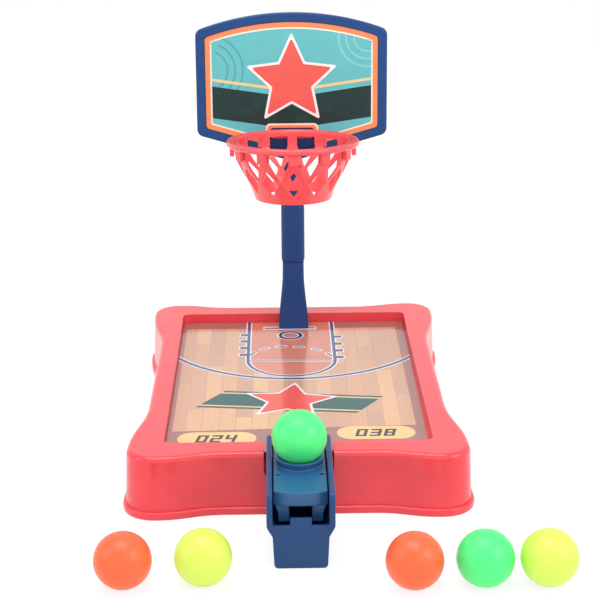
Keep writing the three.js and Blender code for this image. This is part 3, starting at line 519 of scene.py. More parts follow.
def plank_finish(name, plank_width, plank_length, centre_x):
    """Printed floor boards along Y, in metres: a tint for each board, fine grain, dark joints."""
    nodes = Nodes(name)
    maths = nodes.maths
    split = nodes.add("SeparateXYZ", {"Vector": nodes.place()})
    across = maths("DIVIDE", maths("SUBTRACT", split["X"], centre_x), plank_width)
    board = maths("FLOOR", across)
    along = maths("ADD", maths("DIVIDE", split["Y"], plank_length), maths("MULTIPLY", board, 0.371))
    seed = nodes.add("CombineXYZ", {"X": board, "Y": maths("FLOOR", along)})["Vector"]
    white = nodes.add("TexWhiteNoise", {"Vector": seed}, noise_dimensions="3D")["Value"]
    tint = nodes.ramp(white, (0, srgb(204, 160, 136)), (0.45, srgb(216, 169, 136)),
                      (0.7, srgb(226, 180, 140)), (1, srgb(230, 186, 140)))
    stretched = nodes.add("Mapping", {"Scale": (1, 0.05, 1), "Vector": nodes.place()})["Vector"]
    grained = nodes.add("Mix", {
        "Factor": nodes.spread(nodes.noise(900, 4, 0.6, stretched), 0, 0.5),
        "A": tint, "B": srgb(240, 222, 205)}, data_type="RGBA", blend_type="MULTIPLY")["Result"]

    def inside(position, share):
        middle = maths("SUBTRACT", maths("FRACT", position), 0.5)
        return maths("LESS_THAN", maths("ABSOLUTE", middle), share)
    final = nodes.add("Mix", {
        "Factor": maths("MULTIPLY", inside(across, 0.478), inside(along, 0.4975)),
        "A": srgb(192, 150, 126), "B": grained}, data_type="RGBA")["Result"]
    return varnished(nodes, final, 0.2)


def blue_plastic(name, colour, rough, coat=0.1, specular=0.25):
    return plastic(name + "_blue_moulding", colour, rough, coat=coat, specular=specular), "blue_plastic"


red = plastic("red_moulding", (240, 62, 72), 0.42, 0.05, 0, 0.8, 0.2, 0.14), "red_plastic"
hoop_red = plastic("hoop_moulding", (250, 83, 89), 0.36, 0.05, 0.15, 0.8, 0.2, 0.16), "hoop_plastic"
board_blue = blue_plastic("board", (23, 66, 124), 0.36)
post_blue = blue_plastic("post", (27, 64, 122), 0.4)
launcher_blue = blue_plastic("launcher", (31, 68, 119), 0.36)
lever_blue = blue_plastic("lever", (40, 94, 142), 0.34, 0.2, 0.4)
steel = steel_finish("plated_steel", (168, 171, 176), (205, 207, 210)), "steel"
dark_steel = steel_finish("blued_steel", (52, 56, 64), (72, 76, 86)), "steel"
balls = {colour: (plastic(f"ball_{colour}_moulding", tint, 0.42, 0.02, 0.2), colour + "_ball")
         for colour, tint in (("green", (78, 246, 132)), ("yellow", (218, 246, 92)),
                              ("orange", (252, 102, 50)))}
inks = {name: print_ink("ink_" + name, *settings) for name, *settings in (
    ("border_brown", (160, 108, 100)),
    ("key_coral", (214, 130, 106)),
    ("white", (238, 236, 236)),
    ("ivory", (242, 230, 216)),
    ("navy", (48, 66, 128)),
    ("orange", (240, 135, 78)),
    ("court_green", (44, 92, 92), 0.08, 0.1, 0.3),
    ("coral", (232, 92, 82), 0.05, 0.1, 0.3),
    ("cream", (238, 200, 142), 0.03, 0.1, 0.3),
    ("dark_grey", (58, 62, 56), 0.03, 0.1, 0.3),
    ("teal", (100, 186, 190), 0.05, 0.1, 0.3),
    ("pale_teal", (128, 200, 202), 0.05, 0.1, 0.3),
    ("deep_teal", (80, 164, 170), 0.05, 0.1, 0.3),
    ("dark_green", (30, 56, 54), 0.18, 0.1, 0.2))}
inks["planks"] = plank_finish("court_boards", 0.00978, 0.115, 0.00256)


# Tray

def tray_quarter():
    """A quarter of the outline from the waist on: side swell, corner, end swell."""
    waist, middle = WAIST_WIDTH / 2, WAIST_LENGTH / 2
    side, end = waist + SIDE_BULGE, middle + END_BULGE
    corner_x, corner_y = side - TRAY_CORNER, end - TRAY_CORNER
    side_start, end_start = SIDE_STRAIGHT / 2, END_STRAIGHT / 2
    side_arm, end_arm = (corner_y - side_start) * SWELL_SHARE, (corner_x - end_start) * SWELL_SHARE
    arm = TRAY_CORNER * CIRCLE_SHARE
    curves = [
        ((waist, side_start), (waist, side_start + side_arm), (side, corner_y - side_arm),
         (side, corner_y)),
        ((side, corner_y), (side, corner_y + arm), (corner_x + arm, end), (corner_x, end)),
        ((corner_x, end), (corner_x - end_arm, end), (end_start + end_arm, middle),
         (end_start, middle))]
    points = [curves[0][0]]
    for curve in curves:
        for t in shares(CURVE_STEPS)[1:]:
            s = 1 - t
            points.append(tuple(s ** 3 * a + 3 * s * s * t * b + 3 * s * t * t * c + t ** 3 * d
                                for a, b, c, d in zip(*curve)))
    return points


QUARTER = tray_quarter()
TRAY_OUTLINE = (QUARTER + [(-x, y) for x, y in reversed(QUARTER)] + [(-x, -y) for x, y in QUARTER]
                + [(x, -y) for x, y in reversed(QUARTER)])


def tray_outline(grow):
    return grown(TRAY_OUTLINE, grow)


def shell_sections(inset, low, high):
    shoulder = high - RIM_FILLET
    return [(tray_outline(WALL_DRAFT - inset), low)] + [
        (tray_outline(-inset - RIM_FILLET * (1 - cos)), shoulder + RIM_FILLET * sin)
        for cos, sin in quarter_turn(CORNER_STEPS)]


def launcher_section(grow):
    half, foot, base = CASE_WIDTH / 2, CASE_FOOT / 2, CASE_BASE / 2
    right = [(base, 0), (foot, STEP_LOW), (half, STEP_HIGH), (half, CASE_HEIGHT)]
    return grown(right + [(-x, z) for x, z in reversed(right)], grow)


def pocket_outline(grow):
    return centred(POCKET_WIDTH + 2 * grow, POCKET_LENGTH + 2 * grow, POCKET_CORNER + grow)


def plug_outline(width, depth, y, grow=0):
    """A plug or socket of the mast."""
    return moved(centred(width + 2 * grow, depth + 2 * grow, POST_CORNER / 2), 0, y)


def tenon_outline(grow):
    return plug_outline(TENON_WIDTH, TENON_DEPTH, POST_FOOT[1] / 2, grow)


def at_screws(radius, low, high, sides):
    return [shifted(drum(radius, low, high, sides), x, y) for x, y in SCREW_PLACES]


def tray_shell():
    outer = loft(shell_sections(0, PLATE_EDGE - OVER, TRAY_HEIGHT))
    hollow = loft(shell_sections(SHELL_WALL, PLATE_EDGE - OVER, TRAY_HEIGHT - SHELL_WALL))
    wall_half, wall_back = NOTCH_HALF + SHELL_WALL, NOTCH_BACK + SHELL_WALL
    cut(hollow,
        along_z(pocket_outline(SHELL_WALL), POCKET_FLOOR - SHELL_WALL, TRAY_HEIGHT),
        along_y(launcher_section(NOTCH_PLAY + SHELL_WALL), NOTCH_FRONT, wall_back),
        block((-wall_half, wall_half), (NOTCH_FRONT, wall_back), (STEP_HIGH, TRAY_HEIGHT)),
        in_mast(along_z(grown(tenon_outline(GAP), SHELL_WALL), -TENON_LENGTH - SHELL_WALL, 0)),
        *at_screws(SCREW_BOSS / 2, PLATE_EDGE - 2 * OVER, POCKET_FLOOR, 32))
    cut(outer, hollow,
        along_z(pocket_outline(0), POCKET_FLOOR, TRAY_HEIGHT + OVER),
        along_y(launcher_section(NOTCH_PLAY), NOTCH_FRONT, NOTCH_BACK),
        block((-NOTCH_HALF, NOTCH_HALF), (NOTCH_FRONT, NOTCH_BACK), (STEP_HIGH, TRAY_HEIGHT + OVER)),
        in_mast(along_z(tenon_outline(GAP), -TENON_LENGTH - GAP, OVER)),
        *at_screws(SCREW_SHANK / 2 + GAP, 0, BORE_TOP, 24))
    below = block((-WAIST_WIDTH, WAIST_WIDTH), (-WAIST_LENGTH, WAIST_LENGTH), (0, PLATE_EDGE))
    return cut(softened(outer, SHELL_EDGE_ROUND), below)


def tray_plate():
    grow = WALL_DRAFT + PLATE_STEP
    body = loft(
        [(tray_outline(grow - PLATE_ROUND * (1 - sin) / 2), PLATE_ROUND * (1 - cos))
         for cos, sin in quarter_turn(4)]
        + [(tray_outline(grow - PLATE_TOP_ROUND * (1 - cos)), PLATE_EDGE - PLATE_TOP_ROUND * (1 - sin))
           for cos, sin in quarter_turn(8)])
    cut(body, along_z(tray_outline(-PLATE_BAND), PLATE_THICK, PLATE_EDGE + OVER))
    slot_half = CASE_FOOT / 2 + NOTCH_PLAY
    curb_half = slot_half + 2 * SHELL_WALL
    curb = block((-curb_half, curb_half), (-WAIST_LENGTH / 2, NOTCH_BACK + 2 * SHELL_WALL),
                 (PLATE_THICK - OVER, PLATE_EDGE))
    joined(body, curb, *at_screws(SCREW_PAD / 2, PLATE_THICK - OVER, PLATE_EDGE, 48))
    cut(body, block((-slot_half, slot_half), (NOTCH_FRONT, NOTCH_BACK), (-OVER, PLATE_EDGE + OVER)),
        *at_screws(SCREW_HEAD / 2 + GAP, -OVER, SCREW_RECESS, 40),
        *at_screws(SCREW_SHANK / 2 + GAP, 0, PLATE_EDGE + OVER, 24))
    return softened(body, PLATE_EDGE_ROUND, 2)


def screw():
    """A pan head screw with a cross recess, its head down."""
    head, shank, top = SCREW_HEAD / 2, SCREW_SHANK / 2, SCREW_RECESS - GAP
    low = top - HEAD_HEIGHT
    body = lathe([(0, low), (head - 1.1, low), (head - 0.4, low + 0.3), (head, low + 1), (head, top),
                  (shank, top), (shank, SHANK_TOP), (0, SCREW_POINT)], 40)
    long, short = about(CROSS_LENGTH), about(CROSS_WIDTH)
    return cut(body, *[block(x, y, (low - 1, low + 1)) for x, y in ((long, short), (short, long))])


set_down(tray_shell(), "tray_shell", red, "base_shell")
set_down(tray_plate(), "tray_plate", red, "base_plate")
for number, (x, y) in enumerate(SCREW_PLACES, 1):
    set_down(shifted(screw(), x, y), f"plate_screw_{number}", steel, f"base_screw_{number}")


# Mast

def smoothed_flare(share):
    """The post's flare at a share of its height, averaged over a short reach."""
    samples = [interpolated(POST_FLARE, min(1, max(0, share + FLARE_REACH * step / 4)))
               for step in range(-4, 5)]
    return sum(samples) / len(samples)


def lower_post():
    sections = []
    for share in shares(POST_STEPS):
        flare = smoothed_flare(share)
        width, depth = [top + (foot - top) * flare for top, foot in zip(POST_TOP, POST_FOOT)]
        sections.append((rectangle(*about(width), 0, depth, POST_CORNER),
                         (POST_HEIGHT + OVER) * share - OVER))
    column = loft(sections)
    below = placed(block((-60, 60), (-80, 80), (-20, 0.1)),
                   MAST.inverted() @ Matrix.Translation((0, MAST_FOOT_Y, COURT_TOP)))
    cut(column, below)
    return joined(column, along_z(tenon_outline(0), -TENON_LENGTH, POST_FOOT[1] / 2),
                  along_z(plug_outline(SPIGOT_WIDTH, SPIGOT_DEPTH, POST_TOP[1] / 2),
                          POST_HEIGHT - OVER, POST_HEIGHT + SPIGOT_LENGTH))


def upper_post():
    low = POST_HEIGHT + GAP
    high = low + SLEEVE_LENGTH
    centre_y, flange_y = POST_TOP[1] / 2, BOARD_BACK + GAP

    def sleeve_outline(inset):
        return moved(grown(centred(SLEEVE_WIDTH, SLEEVE_DEPTH, SLEEVE_CORNER), -inset), 0, centre_y)
    sleeve = loft(
        [(sleeve_outline(SLEEVE_CHAMFER * 0.45 * (1 - share) ** 2), low + SLEEVE_CHAMFER * 2 * share)
         for share in shares(6)]
        + [(sleeve_outline(SLEEVE_CHAMFER * 1.2 * share ** 1.7), high - SLEEVE_CHAMFER * 2 * (1 - share))
           for share in shares(6)])
    neck_y = flange_y + FLANGE_THICK / 2 + NECK_DEPTH / 2
    neck = along_z(plug_outline(NECK_WIDTH, NECK_DEPTH, neck_y), high - OVER, NECK_TOP)
    flange = block(about(FLANGE_WIDTH), (flange_y, flange_y + FLANGE_THICK),
                   (NECK_TOP - FLANGE_LENGTH, NECK_TOP))
    bore = along_z(plug_outline(SPIGOT_WIDTH, SPIGOT_DEPTH, centre_y, GAP),
                   low - OVER, low + SPIGOT_LENGTH + GAP)
    return cut(joined(sleeve, neck, flange), bore)


set_down(in_mast(lower_post()), "post_column", post_blue, "lower_post")
set_down(in_mast(upper_post()), "post_sleeve", post_blue, "upper_post")


# Backboard

def board_outline(inset, radius=BOARD_CORNER / 2):
    """The board as (x, z), moved inward by an inset: a shallow V below and an arched top."""
    half = BOARD_WIDTH / 2
    span = math.asin(half / BOARD_ARC)
    corners = [(-half, BOARD_SIDE_LOW), (0, BOARD_APEX_LOW), (half, BOARD_SIDE_LOW)]
    for step in (0, *range(2, BOARD_STEPS - 1), BOARD_STEPS):
        angle = span * (1 - 2 * step / BOARD_STEPS)
        corners.append(polar(BOARD_ARC, math.pi / 2 - angle, 0, BOARD_TOP - BOARD_ARC))
    radii = [radius, 0, radius, radius] + [0] * (len(corners) - 5) + [radius]
    return rounded(grown(corners, -inset), radii)


def board_frame():
    body = softened(along_y(board_outline(0, BOARD_CORNER), BOARD_FRONT, BOARD_BACK), BORDER_ROUND, 5)
    cut(body, along_y(board_outline(BOARD_BORDER), BOARD_FRONT - OVER, RECESS_FLOOR),
        block(about(TONGUE_WIDTH + 2 * GAP), (BOARD_FRONT, BOARD_BACK + OVER),
              (TONGUE_LOW - GAP, TONGUE_LOW + TONGUE_HEIGHT + GAP)))
    inner = FLANGE_WIDTH / 2 + GAP
    outer = inner + RAIL_WIDTH
    lip = BOARD_BACK + GAP * 2 + FLANGE_THICK
    rail_top = NECK_TOP + GAP + RAIL_WIDTH
    depth, height = (BOARD_BACK - OVER, lip + RAIL_LIP), (NECK_TOP - FLANGE_LENGTH, rail_top)
    parts = []
    for side in (-1, 1):
        parts.append(block(sorted((side * inner, side * outer)), depth, height))
        parts.append(block(sorted((side * (inner - RAIL_HOOK), side * outer)), (lip, depth[1]), height))
    joined(body, *parts, block((-outer, outer), depth, (NECK_TOP + GAP, rail_top)))
    return softened(body, FRAME_ROUND, 4)


def notch_tool():
    notch = rectangle(*about(NOTCH_WIDTH), BOARD_APEX_LOW - OVER, NOTCH_TOP,
                      [0, 0, POST_CORNER, POST_CORNER])
    return along_y(notch, CARD_FRONT - OVER, CARD_BACK + OVER)


def board_card():
    return cut(along_y(board_outline(CARD_INSET), CARD_FRONT, CARD_BACK), notch_tool())


def board_layer(name, ink, level, outlines, clip_inset=TEAL_INSET):
    """Ink of (x, z) outlines on the board's card, clipped to an inset; a higher level lies on top."""
    body = joined(*[along_y(outline, CARD_FRONT - BOARD_INK * level, CARD_FRONT + INK_ROOT)
                    for outline in outlines])
    clip = along_y(board_outline(clip_inset), CARD_FRONT - OVER, CARD_BACK + OVER)
    cut(shared(body, clip), notch_tool())
    set_down(in_mast(body), "board_ink_" + name, (inks[ink], "board_print"))


def star(x, y, outer, inner, tilt=0):
    return [polar(inner if index % 2 else outer, math.pi / 2 + tilt + math.pi * index / 5, x, y)
            for index in range(10)]


def star_layers(layer, outline, edge, tip, level):
    """A coral star on a wider white one."""
    layer("star_edge", "white", level, [rounded(grown(outline, edge), tip, 4)])
    layer("star", "coral", level + 1, [rounded(outline, tip, 4)])


def chevron(low, thickness, half=62, rise=9):
    """A broad V with its point down."""
    high = low + thickness
    return [(-half, low + rise), (0, low), (half, low + rise), (half, high + rise), (0, high),
            (-half, high + rise)]


def ripples(x, z, radii, start, stop):
    return [ribbon(arc(x, z, radius, start, stop, 40), 1.3) for radius in radii]


BOARD_INK, INK_ROOT = 0.03, 0.2
set_down(in_mast(board_frame()), "board_frame", board_blue, "backboard_frame")
set_down(in_mast(board_card()), "board_card", (inks["orange"], "board_print"), "backboard_card")
board_layer("line", "ivory", 1, [board_outline(WHITE_INSET, 1.5)], CARD_INSET)
board_layer("field", "teal", 2, [board_outline(TEAL_INSET, 1.2)], CARD_INSET)
board_layer("bands", "dark_green", 3, [chevron(139, 21)])
board_layer("stripes", "cream", 3, [chevron(163.4, 1.8)])
board_layer("arcs_deep", "deep_teal", 2.5, ripples(-55, 178, (13, 18, 23), -70, 68))
board_layer("arcs_pale", "pale_teal", 2.5, ripples(50, 199, (9, 14, 19), 165, 300))
star_layers(board_layer, star(0, 171, 28, 13.4), 1.6, 0.9, 4)
board_layer("tab_line", "ivory", 6, [rectangle(-17.5, 17.5, 110, 142.7, [0, 0, 3, 3])], WHITE_INSET)
board_layer("tab", "orange", 7, [rectangle(-16.3, 16.3, 110, 141.5, [0, 0, 2.4, 2.4])], CARD_INSET)


# Court card and its print

COURT_INK, COURT_ROOT, CARD_PLAY, CARD_TRIM = 0.02, 0.1, 0.4, 1.3
PRINT_X = -2.2
KEY_HALF, KEY_Y, KEY_BACK = 28.4, 35.5, 112
THREE_Y, THREE_RADIUS, THREE_STRETCH = 92, 89.4, 1.069
HOOP_MARK = (-2.5, 83.7)
EMBLEM_X, EMBLEM_Y, EMBLEM_TILT, EMBLEM_HALF, EMBLEM_SLANT = -4, -36, -7, 49, 0.5
PILLS = [("024", (-69.7, -24, -100.8, -82)), ("038", (22.7, 68.5, -94.5, -75.7))]
DIGIT_WIDTH, DIGIT_HEIGHT, DIGIT_STROKE, DIGIT_PITCH, DIGIT_SLANT = 6.4, 10.2, 1.9, 8.2, 0.2
SEGMENTS = {"0": "abcdef", "2": "abged", "3": "abgcd", "4": "fgbc", "8": "abcdefg"}


def card_outline(inset):
    """The card's outline, trimmed a little short on its right towards the player."""
    x, y = POCKET_WIDTH / 2 - CARD_PLAY, POCKET_LENGTH / 2 - CARD_PLAY
    return grown(rounded([(-x, -y), (x - CARD_TRIM, -y), (x, y), (-x, y)], POCKET_CORNER), -inset)


def post_hole():
    return in_mast(along_z(tenon_outline(GAP), -2 * OVER, 2 * OVER))


def court_plate(shape, low, high):
    """A plate from an (x, y) outline, or from a ring given as (x, y, inner, outer)."""
    if isinstance(shape, list):
        return along_z(shape, low, high)
    x, y, inner, outer = shape
    return shifted(lathe([(inner, low), (outer, low), (outer, high), (inner, high), (inner, low)]), x, y)


def court_layer(name, ink, level, shapes):
    """Ink shapes on the court's card, clipped to it and cut where the post goes through."""
    body = joined(*[court_plate(shape, COURT_TOP - COURT_ROOT, COURT_TOP + COURT_INK * level)
                    for shape in shapes])
    shared(body, along_z(card_outline(0.1), COURT_TOP - OVER, COURT_TOP + OVER))
    set_down(cut(body, post_hole()), "court_ink_" + name, (inks[ink], "court_print"))


def digit(symbol, x, y):
    """A plain seven-segment numeral as outlines, its lower left corner at (x, y)."""
    width, height, stroke = DIGIT_WIDTH, DIGIT_HEIGHT, DIGIT_STROKE
    gap, half = 0.12 * stroke, height / 2
    spans = {
        "a": (0, width, height - stroke, height), "d": (0, width, 0, stroke),
        "g": (gap, width - gap, half - stroke / 2, half + stroke / 2),
        "b": (width - stroke, width, half, height), "c": (width - stroke, width, 0, half),
        "e": (0, stroke, 0, half), "f": (0, stroke, half, height)}
    return [[(x + px + py * DIGIT_SLANT, y + py) for px, py in rectangle(*spans[name])]
            for name in SEGMENTS[symbol]]


def emblem_band(low, high):
    band = [(side * EMBLEM_HALF + y * EMBLEM_SLANT, y)
            for side, y in ((-1, low), (1, low), (1, high), (-1, high))]
    return moved(band, EMBLEM_X, EMBLEM_Y, EMBLEM_TILT)


def court_lines(name, ink, level, widths, ring, mark, tick, dash):
    """Lines with the widths of the key, the far arc and the throw line, then the small marks."""
    court_layer(name, ink, level, [
        *[ribbon(path, width) for path, width in zip((key_path, three_path, throw_line), widths)],
        (*HOOP_MARK, *ring), rectangle(*mark),
        *[moved(centred(*tick), PRINT_X + x, y) for x, y in tick_places],
        *[moved(centred(*dash, 3), PRINT_X + x, KEY_Y + y, turn) for x, y, turn in dash_places]])


key_path = ([(PRINT_X - KEY_HALF, KEY_BACK)] + arc(PRINT_X, KEY_Y, KEY_HALF, 180, 360, 48)
            + [(PRINT_X + KEY_HALF, KEY_BACK)])
three_path = arc(PRINT_X, THREE_Y, THREE_RADIUS, 190, 270, 60) + [
    (x * THREE_STRETCH, y)
    for x, y in arc(PRINT_X / THREE_STRETCH, THREE_Y, THREE_RADIUS, 270, 350, 60)[1:]]
throw_line = [(PRINT_X - KEY_HALF, KEY_Y + 0.5), (PRINT_X + KEY_HALF, KEY_Y - 2.2)]
tick_places = ([(-KEY_HALF - 2.8, y) for y in (46.5, 59.5, 72.5, 85)]
               + [(KEY_HALF + 3, y) for y in (40.5, 53, 66, 80)])
dash_places = [(-25.6, 13.1, 62), (-17.6, 22.3, 36), (-6.7, 26.3, 12), (5.2, 25, -10),
               (16.5, 19.6, -36), (25, 10, -60)]
numerals = []
for label, (left, right, low, high) in PILLS:
    for index, symbol in enumerate(label):
        numerals += digit(symbol, (left + right) / 2 - 12.6 + DIGIT_PITCH * index,
                          (low + high) / 2 - DIGIT_HEIGHT / 2)
court_card = cut(along_z(card_outline(0), POCKET_FLOOR, COURT_TOP), post_hole())
set_down(court_card, "court_card_print", (inks["border_brown"], "court_print"), "court_card")
court_layer("boards", "planks", 1, [[(-73.2, -80.2), (69.7, -74.2), (69.7, 98), (-73.2, 98)]])
court_layer("key", "key_coral", 2, [key_path])
court_lines("lines_white", "white", 3, (3.8, 4.6, 2.8), (4.9, 9), (-21, 15.5, 95.5, 101.5),
            (7, 6.2), (8.4, 3.6, 1.2))
court_lines("lines_navy", "navy", 4, (2.1, 2.7, 1.1), (5.8, 8.2), (-20, 14.5, 97.4, 99.6),
            (5.6, 4.2), (6.6, 1.6, 0))
court_layer("pills", "cream", 2, [
    rectangle(*box, (box[3] - box[2]) / 2 - 0.05, 16) for label, box in PILLS])
court_layer("numerals", "dark_grey", 3, numerals)
court_layer("emblem_band", "court_green", 2, [emblem_band(-14, 14)])
court_layer("emblem_stripes", "cream", 3, [emblem_band(low, low + 1.8) for low in (-11.4, 9.6)])
star_layers(lambda name, *rest: court_layer("emblem_" + name, *rest),
            star(EMBLEM_X, EMBLEM_Y + 2, 27, 13, math.radians(EMBLEM_TILT)), 1.5, 0.8, 4)


# Hoop and net

def hoop():
    low = HOOP_TOP - HOOP_BAND_HEIGHT
    section = rectangle(HOOP_INNER, HOOP_OUTER, low, HOOP_TOP, HOOP_ROUND, 5)
    ring = lathe(section + [section[0]], RING_SIDES)
    joined(ring, *[
        spun(block((HOOP_INNER, HOOP_INNER + LUG_THICK), about(LUG_WIDTH),
                   (low - LUG_DROP, low + HOOP_BAND_HEIGHT / 2)), index * 360 / LUG_COUNT + 90)
        for index in range(LUG_COUNT)])
    shifted(ring, 0, HOOP_Y)
    half, back, front = BRACKET_WIDTH / 2, RECESS_FLOOR - GAP, BOARD_FRONT - BRACKET_THICK
    plate = along_y(rectangle(-half, half, BRACKET_LOW, BRACKET_TOP,
                              [HOOP_ROUND, HOOP_ROUND, 0.01, 0.01]), front, back)
    tongue = block(about(TONGUE_WIDTH), (back - OVER, BOARD_BACK - GAP),
                   (TONGUE_LOW, TONGUE_LOW + TONGUE_HEIGHT))
    root = block((-half, half), (HOOP_Y + HOOP_INNER, front + OVER), (low, BRACKET_TOP))
    cut(root, shifted(drum(HOOP_OUTER - HOOP_BAND / 2, low - OVER, HOOP_TOP + OVER, RING_SIDES),
                      0, HOOP_Y))
    joined(ring, root, plate, tongue)
    return moulded(ring, 0.4, 4)


def net_radius(share):
    return NET_RADIUS * interpolated(NET_LEVELS, share)


def net():
    net_top = HOOP_TOP - NET_RIM_INSET
    outer = [(net_radius(share), net_top - NET_HEIGHT * share) for share in shares(NET_STEPS)]
    inner = [(radius - NET_WALL, z) for radius, z in reversed(outer)]
    wall = lathe(outer + inner + [outer[0]], RING_SIDES)

    def half_gap(share, solid_width):
        return net_radius(share) * math.sin(math.pi / LUG_COUNT) - solid_width / 2

    def window(corners, degrees):
        outline = [(x, net_top - NET_HEIGHT * share) for x, share in corners]
        return spun(along_y(outline, -NET_RADIUS - OVER, -NET_RADIUS / 2), degrees)
    top, fork = half_gap(STRAP_TOP, NET_STRAP), half_gap(STRAP_FORK, NET_STRAP)
    upper = [(-top, STRAP_TOP), (-fork, STRAP_FORK), (0, FORK_END), (fork, STRAP_FORK), (top, STRAP_TOP)]
    middle = half_gap(DIAMOND_MIDDLE, NET_STRAND)
    lower = [(0, DIAMOND_TOP), (-middle, DIAMOND_MIDDLE), (0, DIAMOND_LOW), (middle, DIAMOND_MIDDLE)]
    windows = []
    for index in range(LUG_COUNT):
        angle = index * 360 / LUG_COUNT
        windows += [window(upper, angle + 180 / LUG_COUNT), window(lower, angle)]
    return shifted(moulded(cut(wall, *windows), 0.4, 3), 0, HOOP_Y)


for piece, name, node in ((hoop(), "hoop_rim", "hoop_ring"), (net(), "hoop_basket", "hoop_net")):
    set_down(in_mast(piece), name, hoop_red, node, MOULDED_ANGLE)


# Launcher

def at_pin(obj):
    """Sets a piece made along Z on the lever's pin."""
    return shifted(spun(obj, 90, "Y"), 0, -PIN_Y, PIN_Z)


def pin_bore():
    half = CASE_WIDTH / 2 + OVER
    return at_pin(drum(PIN_RADIUS + 0.1, -half, half, 48))


def cup_drum(radius, low, high):
    return shifted(drum(radius, low, high, 64), 0, -CUP_Y)


def launcher_body():
    """The housing: a trough with thick rails, a guide in its front wall and the spring's pocket."""
    half, above = CASE_WIDTH / 2, CASE_HEIGHT + OVER
    section = launcher_section(0)
    radii = [SHOULDER_ROUND if z else BASE_ROUND for x, z in section]
    side = rectangle(-CASE_FRONT, -CASE_BACK, 0, CASE_HEIGHT,
                     [CORNER_ROUND / 2, 0.01, RAIL_ROUND, RAIL_ROUND])
    plan = rectangle(-half - 0.01, half + 0.01, -CASE_FRONT, -CASE_BACK,
                     [CORNER_ROUND, CORNER_ROUND, BACK_ROUND, BACK_ROUND])
    body = shared(along_y(rounded(section, radii), -CASE_FRONT - OVER, OVER - CASE_BACK),
                  along_x(side, -half - OVER, half + OVER), along_z(plan, -OVER, above))
    inner = []
    for x, z in grown(section, -CASE_WALL):
        high = above if z > (STEP_HIGH + CASE_HEIGHT) / 2 else z
        inner.append((x, CASE_FLOOR if z < STEP_LOW / 2 else high))
    front, back = CASE_WALL - CASE_FRONT, -CASE_BACK - CASE_WALL
    between_rails = (RAIL_WALL - half, half - RAIL_WALL)
    channel = shared(along_y(inner, front, back),
                     block(between_rails, (front - OVER, back + OVER), (0, above + OVER)))
    cut(body, channel,
        block(between_rails, (front - CASE_WALL - OVER, front + OVER),
              (FRONT_WALL_TOP, above + OVER)),
        block(between_rails, (back - OVER, back + CASE_WALL + OVER),
              (LEVER_TOP - LEVER_PLATE / 2, above + OVER)))
    pocket = cut(cup_drum(COIL_POCKET + COIL_POCKET_WALL, CASE_FLOOR / 2,
                          CASE_FLOOR + COIL_POCKET_HEIGHT),
                 cup_drum(COIL_POCKET, CASE_FLOOR, above))
    joined(body, pocket, block(about(GUIDE_WIDTH), (-CASE_FRONT, front),
                               (FRONT_WALL_TOP - OVER, FRONT_WALL_TOP + GUIDE_RISE)))
    return moulded(cut(body, pin_bore()), 0.35, 4)


def launcher_lever():
    """The lever: a plate with a curved lip, side skirts, a pivot barrel, two legs and the cup."""
    half = LEVER_WIDTH / 2
    heel = -CASE_BACK - CASE_WALL - GAP
    lip = LIP_INSET - CASE_FRONT
    side = ([(lip, LEVER_LOW), (-PIN_Y - BARREL, LEVER_LOW - LEVER_PLATE)]
            + arc(-PIN_Y, PIN_Z, BARREL, 190, 360, 20)
            + [(heel, LEVER_UNDER), (CUP_BASE - CUP_Y, LEVER_TOP), (lip, LEVER_TOP)])
    radius = (half ** 2 + LIP_SAGITTA ** 2) / (2 * LIP_SAGITTA)
    span = math.degrees(math.asin(half / radius))
    plan = ([(half, heel + OVER), (-half, heel + OVER)]
            + arc(0, lip + radius, radius, 270 - span, 270 + span, 40))
    body = shared(along_x(side, -half - OVER, half + OVER), along_z(plan, 0, LEVER_TOP + OVER))
    softened(body, LEVER_ROUND, 4)
    leg_front = lip + LIP_SAGITTA
    cut(body, block((SKIRT_WALL - half, half - SKIRT_WALL),
                    (leg_front + LIP_THICK, -PIN_Y - BARREL - SKIRT_WALL), (0, LEVER_UNDER)))
    leg_low, leg_high = LEVER_LOW - LEG_DROP, LEVER_LOW + OVER
    leg = [(LEG_GAP / 2, leg_low), (LEG_FOOT_OUT, leg_low), (LEG_FOOT_OUT + 0.2, leg_low + LEG_DROP / 2),
           (LEG_TOP_OUT, LEVER_LOW), (LEG_TOP_OUT, leg_high), (LEG_GAP / 2, leg_high)]
    legs = [along_y([(side * x, z) for x, z in leg][::side], leg_front, leg_front + LEG_THICK)
            for side in (-1, 1)]
    rim = LEVER_TOP + CUP_HEIGHT
    cup = lathe([(0, LEVER_UNDER), (CUP_BASE, LEVER_UNDER), (CUP_BASE, LEVER_TOP), (CUP_RIM, rim - 0.8),
                 (CUP_RIM - 0.05, rim - 0.4), (CUP_RIM - 0.2, rim - 0.12), (CUP_RIM - 0.4, rim),
                 (0, rim)])
    joined(body, *legs, shifted(cup, 0, -CUP_Y),
           cup_drum(PEG_RADIUS, LEVER_UNDER - PEG_LENGTH, LEVER_TOP - LEVER_PLATE / 2))
    bowl_radius = BALL_RADIUS + GAP
    bowl = lathe([(0, -bowl_radius)] + arc(0, 0, bowl_radius, -88, 0, 30) + [(0, 0)])
    holes = [shifted(drum(HOLE_DIAMETER / 2, LEVER_UNDER - OVER, LEVER_TOP + OVER, 32),
                     side * (half - HOLE_DIAMETER), HOLE_INSET - CASE_FRONT) for side in (-1, 1)]
    cut(body, shifted(bowl, 0, -CUP_Y, LEVER_UNDER + CUP_FLOOR + bowl_radius), pin_bore(), *holes)
    return moulded(body, 0.3, 4)


def lever_pin():
    half, radius, chamfer = CASE_WIDTH / 2 - 0.1, PIN_RADIUS - 0.3, 0.35
    return at_pin(lathe([(0, -half), (radius, -half), (PIN_RADIUS, chamfer - half),
                         (PIN_RADIUS, half - chamfer), (radius, half), (0, half)], 40))


